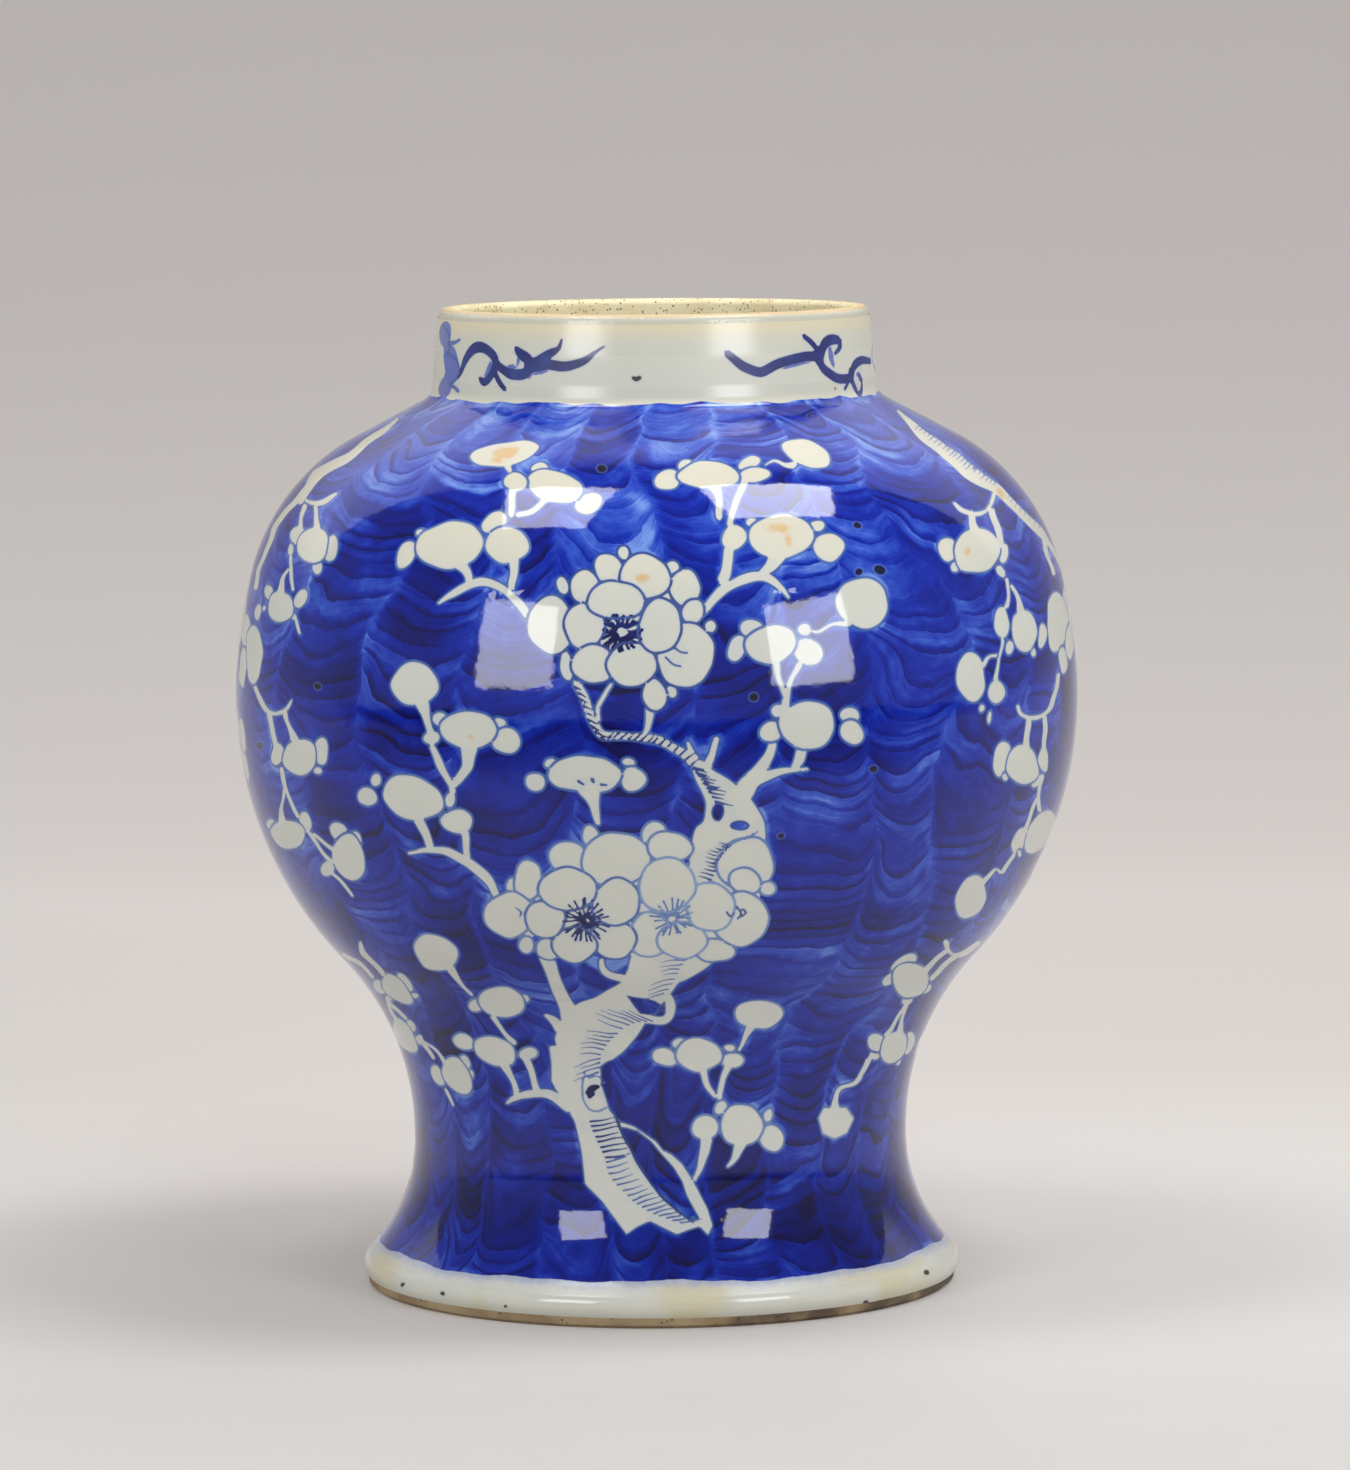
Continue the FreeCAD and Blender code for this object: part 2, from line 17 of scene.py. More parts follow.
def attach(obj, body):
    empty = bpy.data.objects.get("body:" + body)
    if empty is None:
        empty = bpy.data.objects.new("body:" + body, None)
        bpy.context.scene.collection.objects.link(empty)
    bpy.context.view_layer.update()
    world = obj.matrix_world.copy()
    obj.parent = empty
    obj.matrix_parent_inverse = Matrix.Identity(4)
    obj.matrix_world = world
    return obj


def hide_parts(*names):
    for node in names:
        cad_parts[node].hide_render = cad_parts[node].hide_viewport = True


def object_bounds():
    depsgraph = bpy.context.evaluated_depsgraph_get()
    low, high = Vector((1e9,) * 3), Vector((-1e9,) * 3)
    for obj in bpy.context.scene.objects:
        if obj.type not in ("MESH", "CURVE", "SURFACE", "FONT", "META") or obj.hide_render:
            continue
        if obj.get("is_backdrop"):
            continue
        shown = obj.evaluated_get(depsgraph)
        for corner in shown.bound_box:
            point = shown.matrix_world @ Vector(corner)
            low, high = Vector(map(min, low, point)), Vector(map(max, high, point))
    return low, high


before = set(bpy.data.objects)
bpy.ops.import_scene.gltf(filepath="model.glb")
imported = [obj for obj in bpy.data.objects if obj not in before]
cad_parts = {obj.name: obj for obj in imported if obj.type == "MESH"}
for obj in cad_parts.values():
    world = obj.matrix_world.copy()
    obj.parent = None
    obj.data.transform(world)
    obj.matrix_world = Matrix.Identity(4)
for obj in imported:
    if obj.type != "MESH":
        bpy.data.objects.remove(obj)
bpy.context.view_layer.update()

print("solids:", ", ".join(sorted(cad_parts)))

# %% [markdown]
# ## The outline of the glaze
#
# The painted glaze follows a chain of arcs, each touching the next. We could measure it from the
# solid's facets, but they are flat and would show in the gloss. So the arcs are written out again,
# in millimetres, with the same sizes as the solids, and every point of the glaze is worked out from
# them.

# %% Sizes of the outline
MM = 0.001
NECK_TAPER = math.radians(5.2)
SHOULDER_SLOPE = math.radians(27.8)
GLAZE_LOW, GLAZE_HIGH = 1.7, 257.577
NECK_FOOT = (59.1, 236.83)
# each arc: across and up of its centre, its radius, where it ends, and 1 for bulging or -1 for hollow
ARCS = [
    (75.2, 5.45, 4.4, 8.52, 1),
    (110.20, 39.6, 44.5, 39.6, -1),
    (135.29, 40.4, 69.59, 88.01, -1),
    (11.20, 156.8, 100.55, 156.8, 1),
    (-13.75, 157.6, 125.5, 192.19, 1),
    (53.20, 176.80, 55.86, 226.21, 1),
]
NECK_CURL = (62.885, 239.355, 4.0, 238.99, -1)
SLOPE_END = 235.82


def arc_radius(height, arc):
    """How far an arc stands from the axis at a height."""
    across, up, radius, _, side = arc
    return across + side * np.sqrt(np.maximum(radius ** 2 - (height - up) ** 2, 0))


def vase_radius(height):
    """The radius of the glazed outside at each height, in mm."""
    height = np.asarray(height, float)
    radius = NECK_FOOT[0] - (height - NECK_FOOT[1]) * math.tan(NECK_TAPER)
    slope = NECK_FOOT[0] + (NECK_FOOT[1] - height) / math.tan(SHOULDER_SLOPE)
    radius = np.where(height < NECK_CURL[3], arc_radius(height, NECK_CURL), radius)
    radius = np.where(height < SLOPE_END, slope, radius)
    for arc in reversed(ARCS):
        radius = np.where(height <= arc[3], arc_radius(height, arc), radius)
    return radius


BELLY, WAIST = 157.2, 40
print("the belly stands", round(float(vase_radius(BELLY)), 2), "mm from the axis and the waist",
      round(float(vase_radius(WAIST)), 2))

# %% [markdown]
# ## Unrolling the pot
#
# A painter works on a turning pot: across is a turn, up is a climb along the wall. A flat map of
# the wall must keep circles round, or blossoms would stretch where the pot swells. The map that
# does so measures the climb in shares of the radius, as a sea chart does. We add it up once in
# small steps and look it up after.

# %% Make the chart of the wall
chart_height = np.linspace(GLAZE_LOW, GLAZE_HIGH, 5200)
chart_radius = vase_radius(chart_height)
step = np.hypot(np.diff(chart_height), np.diff(chart_radius))
chart_climb = np.concatenate([[0], np.cumsum(step)])
chart_rise = np.concatenate([[0], np.cumsum(step * 2 / (chart_radius[1:] + chart_radius[:-1]))])


def at_rise(rise, chart):
    """Reads another chart, such as the height, at a rise of the map."""
    return np.interp(rise, chart_rise, chart)


def rise_of(height):
    """The rise of the map at a height."""
    return np.interp(height, chart_height, chart_rise)


print("the wall climbs", round(chart_climb[-1], 1), "mm and the chart", round(chart_rise[-1], 2))

# %% [markdown]
# ## The camera
#
# The picture was taken from a little above, two metres away, through a long lens. A camera is a
# point and three directions. With them a pixel of the picture becomes a ray, so that each blossom
# can be painted where it is seen, by turning its pixel into a place on the wall.

# %% Set the camera
PICTURE = (1350, 1470)
FOCAL = 7330.3
EYE = Vector((0, -1941.2, 337.4))
PITCH, YAW, ROLL = (math.radians(turn) for turn in (5.633, 0.140, -0.448))
SENSOR = 36

ahead = Vector((math.sin(YAW) * math.cos(PITCH), math.cos(YAW) * math.cos(PITCH), -math.sin(PITCH)))
level = Vector((math.cos(YAW), -math.sin(YAW), 0))
upward = level.cross(ahead)
right = level * math.cos(ROLL) + upward * math.sin(ROLL)
top = upward * math.cos(ROLL) - level * math.sin(ROLL)

camera = bpy.data.objects.new("camera", bpy.data.cameras.new("camera"))
bpy.context.scene.collection.objects.link(camera)
bpy.context.scene.camera = camera
camera.data.sensor_width = SENSOR
camera.data.lens = FOCAL * SENSOR / max(PICTURE)
camera.data.clip_start, camera.data.clip_end = 0.1, 20
camera.matrix_world = Matrix.Translation(EYE * MM) @ Matrix((right, top, -ahead)).transposed().to_4x4()
print("lens", round(camera.data.lens, 1), "mm")


# %% Turn pixels into places on the wall
REACH = np.linspace(-135, 20, 420)  # where along Y, in mm, a ray may meet the wall
SWAY, TREMOR = 0.9, 0.3  # how far the painter's hand strays, slowly and quickly, in pixels


def unsteady(pixels):
    """The same points, moved by up to a pixel or so, as a hand that isn't quite steady would."""
    x, y = np.asarray(pixels, float).T
    return np.column_stack([x + SWAY * np.sin(y / 8.3 + x / 23) + TREMOR * np.sin(y / 3.7 - x / 11),
                            y + SWAY * np.sin(x / 8.9 - y / 19) + TREMOR * np.sin(x / 4.1 + y / 13)])


def on_the_wall(pixels):
    """The turn and rise of the map that each pixel of the picture shows."""
    pixels = unsteady(pixels)
    aim = (np.array(ahead) + np.outer((pixels[:, 0] - PICTURE[0] / 2) / FOCAL, right)
           - np.outer((pixels[:, 1] - PICTURE[1] / 2) / FOCAL, top))
    aim /= aim[:, 1:2]
    spots = np.array(EYE) + (REACH - EYE.y)[None, :, None] * aim[:, None, :]
    wall = vase_radius(np.clip(spots[..., 2], GLAZE_LOW, GLAZE_HIGH))
    gap = np.hypot(spots[..., 0], spots[..., 1]) - wall
    first = np.where((gap < 0).any(1), np.argmax(gap < 0, 1), np.argmin(gap, 1))
    rows = np.arange(len(pixels))
    before = np.maximum(first - 1, 0)
    share = np.clip(gap[rows, before] / (gap[rows, before] - gap[rows, first] + 1e-9), 0, 1)[:, None]
    found = spots[rows, before] * (1 - share) + spots[rows, first] * share
    return np.column_stack([np.arctan2(found[:, 0], -found[:, 1]), rise_of(found[:, 2])])


print("the middle of the picture shows", on_the_wall([np.array(PICTURE) / 2]).round(3))

# %% [markdown]
# ## Laying out the prunus
#
# On the real vase the painter washed blue round every blossom and bough, so that they stay white,
# then drew their edges, stamens and bark with a fine brush. An image could hold such a pattern, but
# its pixels would blur close up. We lay each petal down as an outline instead, read off the picture,
# and put the outlines through the camera onto the wall. A petal is an oval with a slightly unsteady
# edge.

# %% A petal, a bough and a brush line
hand = np.random.default_rng(11)
PIXELS_PER_MM = 3.75
GROWTH, HALF_LINE = 1.05, 0.6  # petals are read inside their lines: a share and pixels to add
WOOD_EDGE = 0.62  # how dark the line along wood is, where 1 is navy


def petal(across, down, wide, high, tilt=0):
    """The outline of one petal or bud, in pixels; tilt is in degrees, clockwise."""
    fewest, most = 14, 48
    count = int(np.clip((wide + high) * 0.5, fewest, most))
    turn = np.linspace(0, 2 * math.pi, count, endpoint=False)
    wobble = hand.uniform(-1, 1, 4)
    size = 1 + 0.03 * wobble[0] * np.sin(2 * turn + 3 * wobble[1])
    size = size + 0.02 * np.sin(3 * turn + 3 * wobble[2]) + 0.008 * np.sin(5 * turn + 3 * wobble[3])
    x, y = wide / 2 * size * np.cos(turn), high / 2 * size * np.sin(turn)
    lean = math.radians(tilt)
    x, y = x * GROWTH + np.cos(turn) * HALF_LINE, y * GROWTH + np.sin(turn) * HALF_LINE
    return np.column_stack([across + x * math.cos(lean) - y * math.sin(lean),
                            down + x * math.sin(lean) + y * math.cos(lean)])


def smooth(points, gap=2.5):
    """A smooth line through a few points; any further columns, such as width, are carried along."""
    points = np.asarray(points, float)
    padded = np.vstack([2 * points[0] - points[1], points, 2 * points[-1] - points[-2]])
    line = []
    for a, b, c, d in zip(padded, padded[1:], padded[2:], padded[3:]):
        steps = max(int(np.hypot(*(c - b)[:2]) / gap), 1)
        for t in np.arange(steps) / steps:
            line.append(0.5 * (2 * b + (c - a) * t + (2 * a - 5 * b + 4 * c - d) * t ** 2
                               + (3 * b - 3 * c + d - a) * t ** 3))
    return np.array(line + [points[-1]])


def bough(points):
    """The outline of a bough or stem through points of (across, down, width)."""
    line = smooth(points)
    along = np.gradient(line[:, :2], axis=0)
    along /= np.hypot(along[:, 0], along[:, 1])[:, None] + 1e-9
    side = np.column_stack([-along[:, 1], along[:, 0]]) * (line[:, 2:3] + 1) / 2
    start = line[0, :2] - along[0] * line[0, 2] / 2
    end = line[-1, :2] + along[-1] * line[-1, 2] / 2
    return np.vstack([line[:, :2] + side, end, (line[:, :2] - side)[::-1], start])


# the pattern, filled below: white shapes in painting order, holes, pale fills, brush lines, stains, pits
whites, holes, pales, lines, rusts, pits = [], [], [], [], [], []


def paint_petals(rows, line=0.6):
    """Lays petals down in order, each over the ones before it."""
    whites.extend(("petal", on_the_wall(petal(*row)), line) for row in rows)


def paint_wood(*boughs):
    """Lays down boughs and stems, which run into one another without a line between."""
    whites.extend(("wood", on_the_wall(bough(points)), WOOD_EDGE) for points in boughs)


def keep_white(*rows):
    """Keeps the middle of an open flower white, with no line round it."""
    whites.extend(("fill", on_the_wall(petal(*row)), 0) for row in rows)


def draw(depth, *strokes, swell=1.0):
    """Draws brush lines through points of (across, down, width), paler where depth is small."""
    for points in strokes:
        line = smooth(points, 1.5)
        lines.append((on_the_wall(line[:, :2]), line[:, 2] * swell / 2 / PIXELS_PER_MM, depth))


print("a petal's outline has", len(petal(0, 0, 50, 40)), "points")

# %% [markdown]
# ## The rising tree
#
# The front shows one tree that grows from the foot: a thick trunk bent to the left and back, barked
# boughs with little arched twigs, and buds that sit on the twigs in bunches. Wood goes down first,
# then the open flowers in front of it, then stems, which cover the line where they enter a bud, as
# on the vase.

# %% Trunk and boughs
# places in pixels of the picture: (across, down) for outlines, (across, down, width) for wood and
# lines, and (across, down, width, height, tilt) for petals
TRUNK = [
    (549, 1045), (550, 1062), (551, 1082), (560, 1100), (574, 1122), (580, 1154), (585, 1184),
    (601, 1203), (620, 1226), (626, 1236), (638, 1227), (650, 1221), (662, 1229), (676, 1236),
    (688, 1231), (699, 1226), (709, 1236), (713, 1226), (708, 1208), (698, 1188), (691, 1177),
    (682, 1163), (673, 1153), (664, 1149), (656, 1140), (644, 1133), (634, 1126), (620, 1122),
    (610, 1110), (602, 1085), (601, 1062), (604, 1040)]
whites.append(("wood", on_the_wall(TRUNK), WOOD_EDGE))
BOUGHS = [
    [(697, 764, 15), (706, 776, 22), (714, 786, 30), (724, 802, 42), (731, 822, 64), (728, 850, 74),
     (720, 885, 72), (700, 930, 66), (662, 961, 58), (650, 981, 51), (634, 1001, 46), (612, 1020, 60),
     (590, 1036, 66), (577, 1053, 54)],
    [(624, 999, 8), (647, 994, 9), (666, 996, 9), (671, 1008, 10), (664, 1019, 8), (640, 1019, 9)],
    [(545, 957, 14), (553, 975, 13), (559, 990, 13), (566, 1008, 16), (575, 1030, 24)],
    [(544, 1014, 3), (553, 1020, 8), (563, 1030, 13)],
    [(602, 960, 5), (604, 970, 7), (612, 977, 7), (627, 979, 9)],
    [(507, 1104, 3), (515, 1098, 7), (526, 1094, 8), (540, 1093, 8), (554, 1097, 10), (570, 1108, 14)],
    [(807, 770, 4), (786, 771, 6), (768, 774, 10), (752, 781, 16), (741, 795, 24)],
    [(774, 744, 9), (769, 756, 10), (760, 769, 12), (748, 782, 14)],
    [(803, 748, 10), (799, 759, 10), (793, 770, 7)], [(688, 741, 3), (690, 752, 8), (697, 765, 12)],
    [(716, 739, 6), (711, 755, 8), (706, 768, 12)],
    [(575, 684, 8), (586, 702, 9), (593, 721, 9), (603, 736, 9), (628, 736, 8), (654, 739, 9),
     (676, 750, 9), (692, 761, 12)], [(611, 683, 4), (604, 696, 5), (599, 709, 5), (598, 722, 5)],
    [(649, 710, 9), (648, 724, 7), (645, 735, 6)],
    [(439, 604, 4), (452, 594, 7), (468, 585, 9), (488, 583, 9), (504, 589, 9), (515, 599, 9),
     (526, 613, 9), (538, 630, 9)],
    [(698, 616, 8), (707, 608, 9), (720, 592, 10), (735, 582, 10), (754, 577, 10), (771, 580, 9),
     (784, 590, 6), (789, 598, 3)],
    [(408, 852, 4), (429, 850, 6), (452, 854, 9), (473, 865, 10), (488, 880, 9), (497, 896, 7)]]
paint_wood(*BOUGHS)
HOLLOWS = [
    [(620, 1128), (636, 1132), (650, 1141), (662, 1154), (673, 1167), (681, 1181), (687, 1195),
     (698, 1218), (688, 1219), (677, 1210), (664, 1199), (651, 1186), (641, 1169), (631, 1152),
     (624, 1139)],
    [(628, 997), (637, 998), (647, 998), (656, 1001), (665, 1008), (659, 1012), (650, 1014),
     (641, 1013), (636, 1007)]]
KNOTHOLES = [(718, 812, 10, 16), (740, 825, 16, 7)]
for outline in HOLLOWS + [petal(*row) for row in KNOTHOLES]:
    holes.append(on_the_wall(outline))
print(len(whites), "pieces of wood")

# %% Open flowers
FLOWER_GROUNDS = [
    (628, 628, 96, 92), (655, 600, 80, 60), (586, 918, 74, 60), (678, 914, 84, 66), (610, 875, 90, 50),
    (636, 940, 120, 30), (728, 905, 60, 80), (527, 912, 40, 50)]
keep_white(*FLOWER_GROUNDS)
HIGH_FLOWER = [
    (562, 585, 12, 18), (584, 587, 28, 31), (608, 569, 26, 32), (624, 553, 11, 13), (672, 568, 16, 15),
    (685, 588, 29, 36), (645, 577, 50, 42, 20), (711, 626, 11, 12), (693, 611, 22, 24),
    (672, 691, 11, 13), (655, 695, 23, 32), (686, 655, 54, 63), (567, 666, 13, 29, -10),
    (551, 625, 44, 56, -10), (584, 626, 37, 45), (593, 664, 40, 38), (632, 665, 48, 41),
    (660, 626, 42, 49, 8), (616, 600, 54, 36)]
paint_petals(HIGH_FLOWER, 0.72)
LOW_BACK_PETALS = [
    (590, 836, 15, 20), (567, 857, 36, 30), (654, 834, 24, 23), (616, 859, 66, 50), (670, 847, 42, 29),
    (512, 886, 11, 16), (528, 880, 26, 40), (527, 945, 15, 15), (548, 950, 22, 20), (746, 864, 54, 50),
    (767, 888, 16, 13), (745, 881, 29, 25), (715, 951, 36, 22), (741, 919, 54, 49, -20),
    (509, 915, 46, 43)]
paint_petals(LOW_BACK_PETALS, 0.5)
PALE_EDGED_PETALS = [
    (650, 935, 38, 42), (682, 940, 46, 34), (710, 907, 46, 46), (667, 885, 54, 50)]
paint_petals(PALE_EDGED_PETALS, 0.36)
LOW_FRONT_PETALS = [
    (613, 940, 43, 36), (574, 945, 41, 33), (545, 919, 38, 36), (616, 902, 46, 43), (568, 889, 54, 40)]
paint_petals(LOW_FRONT_PETALS, 0.62)
print(len(whites), "white shapes so far")

# %% Bunches of buds, then their stems
HIGH_BUDS = [
    (504, 454, 66, 22, -9), (540, 468, 17, 9, -10), (589, 493, 9, 5), (589, 503, 29, 19, -20),
    (555, 487, 54, 31, 12), (516, 481, 23, 18), (422, 534, 13, 11), (406, 555, 18, 27, 20),
    (494, 522, 26, 19, -20), (507, 545, 42, 34, -5), (450, 545, 67, 44, -5), (415, 684, 44, 42),
    (441, 720, 15, 15), (431, 738, 16, 13), (499, 723, 14, 10), (507, 741, 28, 26), (468, 730, 55, 36),
    (376, 779, 11, 13), (368, 797, 19, 19), (413, 798, 58, 42, 22), (450, 799, 11, 15),
    (457, 821, 31, 23), (686, 465, 16, 12), (668, 480, 27, 19, -25), (749, 463, 23, 11, -15),
    (754, 475, 31, 14), (709, 475, 57, 26), (807, 454, 50, 23, 22), (751, 522, 12, 10),
    (734, 538, 25, 24), (818, 525, 16, 11), (828, 547, 30, 28), (781, 536, 62, 43),
    (862, 603, 51, 48, 20), (751, 628, 24, 18), (737, 649, 18, 26, 10), (805, 629, 14, 13),
    (808, 652, 28, 28), (771, 644, 51, 36, -6), (779, 712, 16, 15), (771, 732, 24, 20),
    (850, 715, 21, 16, 20), (852, 732, 23, 24), (807, 725, 54, 46), (550, 763, 13, 10),
    (536, 782, 20, 19), (629, 763, 13, 9), (633, 780, 25, 24), (585, 774, 70, 35)]
paint_petals(HIGH_BUDS)
LOW_BUDS = [
    (436, 953, 44, 33, 25), (476, 1005, 15, 13), (525, 999, 10, 9), (502, 1002, 46, 28, 12),
    (463, 1042, 22, 14, 30), (529, 1054, 18, 12), (495, 1051, 43, 27, 20), (438, 1076, 23, 10, 63),
    (465, 1062, 16, 10, 55), (471, 1074, 10, 6, 75), (457, 1075, 40, 24, 62), (411, 1027, 15, 7, 56),
    (419, 1041, 9, 5, 70), (405, 1036, 38, 15, 58), (405, 982, 23, 9, 44), (415, 995, 8, 6),
    (380, 987, 17, 9, 46), (390, 998, 8, 5, 45), (397, 990, 37, 18, 44), (759, 1014, 46, 28, -5),
    (680, 1043, 15, 10), (665, 1057, 24, 18, 10), (729, 1047, 11, 7), (732, 1060, 23, 15),
    (699, 1055, 44, 31), (720, 1108, 12, 14, 30), (769, 1115, 9, 13, 10), (705, 1127, 27, 24),
    (771, 1138, 24, 25), (742, 1125, 41, 40)]
paint_petals(LOW_BUDS, 0.5)
ANGULAR_BUD = [
    (817, 1117), (824, 1107), (846, 1107), (854, 1119), (848, 1135), (835, 1139), (822, 1134)]
whites.append(("petal", on_the_wall(ANGULAR_BUD), 0.45))
STEMS = [
    [(506, 463, 8), (511, 471, 5)], [(514, 488, 7), (511, 500, 7), (511, 516, 7)],
    [(545, 500, 6), (531, 511, 6), (517, 515, 6)], [(458, 562, 13), (466, 572, 9), (470, 586, 7)],
    [(513, 558, 11), (514, 572, 9), (512, 588, 7)], [(421, 702, 15), (427, 716, 8), (430, 732, 6)],
    [(431, 746, 6), (441, 765, 7), (451, 788, 6), (451, 797, 7)],
    [(470, 747, 17), (468, 765, 11), (460, 778, 9), (450, 786, 8)],
    [(418, 818, 9), (426, 834, 8), (429, 849, 8)], [(464, 831, 8), (466, 846, 7), (469, 862, 7)],
    [(713, 485, 12), (719, 498, 8), (720, 518, 7)],
    [(744, 480, 8), (739, 496, 7), (732, 516, 6), (729, 526, 7)],
    [(794, 464, 8), (784, 464, 4), (774, 461, 3), (764, 466, 2)],
    [(729, 549, 11), (728, 565, 10), (722, 581, 11)], [(779, 553, 16), (769, 567, 11), (760, 577, 10)],
    [(850, 624, 8), (834, 625, 4), (820, 631, 4), (812, 630, 3)],
    [(775, 659, 8), (778, 677, 6), (787, 696, 6)],
    [(799, 664, 7), (790, 683, 6), (786, 704, 8), (781, 716, 8)],
    [(588, 788, 24), (594, 804, 12), (599, 825, 5)], [(451, 968, 9), (461, 984, 4), (472, 995, 3)],
    [(493, 1015, 5), (504, 1033, 4), (516, 1044, 4)], [(504, 1063, 9), (512, 1080, 6), (518, 1096, 6)],
    [(526, 1058, 7), (532, 1076, 6), (538, 1093, 8)], [(753, 1024, 10), (745, 1038, 5), (738, 1050, 4)],
    [(702, 1067, 9), (707, 1084, 6), (716, 1097, 5)], [(728, 1066, 8), (723, 1082, 6), (719, 1099, 6)],
    [(708, 1138, 12), (702, 1160, 8), (694, 1181, 5)],
    [(741, 1143, 12), (733, 1159, 7), (727, 1166, 4)],
    [(835, 1110, 9), (836, 1100, 5), (842, 1088, 4), (858, 1080, 5), (867, 1060, 4)]]
paint_wood(*STEMS)
print(len(whites), "white shapes on the front")

# %% [markdown]
# ## The falling trees
#
# Towards both sides a second tree hangs from the shoulder, its buds on twigs that curl up. The
# picture shows these at a slant. The ray for each point of an outline puts them back on the wall at
# their true width, which drawing them flat and scaling them by eye would not.

# %% Falling trees at the right and left
FALLING_BOUGHS = [
    [(897, 411, 2), (908, 422, 5), (920, 433, 9), (940, 448, 12), (960, 463, 13), (978, 478, 12),
     (992, 487, 9), (1008, 500, 8), (1024, 516, 8), (1040, 532, 8), (1046, 538, 4)],
    [(1044, 536, 5), (1048, 555, 3), (1053, 575, 3)], [(1044, 534, 4), (1056, 554, 3), (1064, 576, 3)],
    [(953, 503, 3), (962, 511, 5), (976, 513, 5), (988, 509, 5), (994, 494, 5)],
    [(399, 419, 2), (388, 427, 4), (376, 435, 5), (352, 454, 7), (332, 465, 9), (314, 478, 10),
     (306, 492, 7), (300, 503, 4)],
    [(308, 486, 6), (294, 504, 5), (281, 519, 4), (273, 531, 4), (262, 562, 3), (255, 590, 3)],
    [(306, 499, 4), (316, 503, 5), (326, 502, 5), (338, 493, 2)],
    [(1058, 672, 3), (1054, 700, 4), (1046, 714, 4), (1032, 718, 5), (1022, 713, 4), (1018, 704, 3)],
    [(253, 676, 3), (259, 700, 4), (270, 713, 5), (284, 711, 5), (292, 699, 2)],
    [(947, 941, 7), (949, 950, 5), (958, 955, 5), (980, 943, 4)]]
paint_wood(*FALLING_BOUGHS)
RIGHT_BUDS = [
    (1068, 600, 8, 44), (1057, 622, 19, 58), (1070, 640, 7, 40), (1063, 660, 7, 26),
    (947, 549, 17, 24, -8), (955, 566, 9, 11, -20), (1004, 553, 9, 19), (1001, 571, 8, 13, -20),
    (977, 551, 43, 45, 20), (1002, 623, 14, 31), (1009, 648, 8, 14), (1042, 635, 8, 25),
    (1034, 652, 5, 10), (1024, 631, 24, 42), (981, 709, 6, 8), (990, 718, 4, 14),
    (996, 692, 16, 24, 10), (971, 677, 28, 47, -8), (1002, 759, 17, 34, 5), (1006, 777, 6, 8),
    (1044, 759, 9, 25), (1035, 780, 8, 18, 15), (1023, 765, 30, 40), (1019, 840, 12, 28, 25),
    (1019, 853, 4, 8), (1040, 832, 22, 46, 30), (971, 897, 26, 46, 25), (905, 963, 30, 13, -35),
    (890, 980, 17, 9, -35), (925, 988, 14, 7, -40), (907, 1001, 12, 9, -30), (910, 980, 33, 36, 35),
    (874, 1056, 10, 10), (877, 1043, 20, 18, -35), (908, 1043, 10, 22, 15), (898, 1060, 6, 10),
    (893, 1047, 23, 34, 25)]
paint_petals(RIGHT_BUDS)
LEFT_BUDS = [
    (247, 636, 9, 44), (258, 612, 6, 16), (243, 668, 6, 40), (254, 654, 15, 58),
    (297, 536, 14, 19, 15), (291, 550, 5, 12), (331, 548, 14, 26, 15), (317, 568, 9, 15, 20),
    (313, 545, 29, 37, 15), (268, 593, 8, 15), (264, 609, 3, 6), (301, 598, 12, 19, 20),
    (294, 616, 6, 8), (281, 607, 25, 31), (277, 755, 12, 21), (321, 751, 15, 27, -5), (318, 770, 8, 8),
    (300, 757, 32, 37), (273, 826, 8, 16, -30), (306, 822, 11, 19, -10), (288, 834, 31, 29, 20),
    (338, 831, 16, 20, -30), (355, 840, 14, 19, -20), (328, 869, 13, 15), (349, 857, 30, 47, -10)]
paint_petals(LEFT_BUDS)
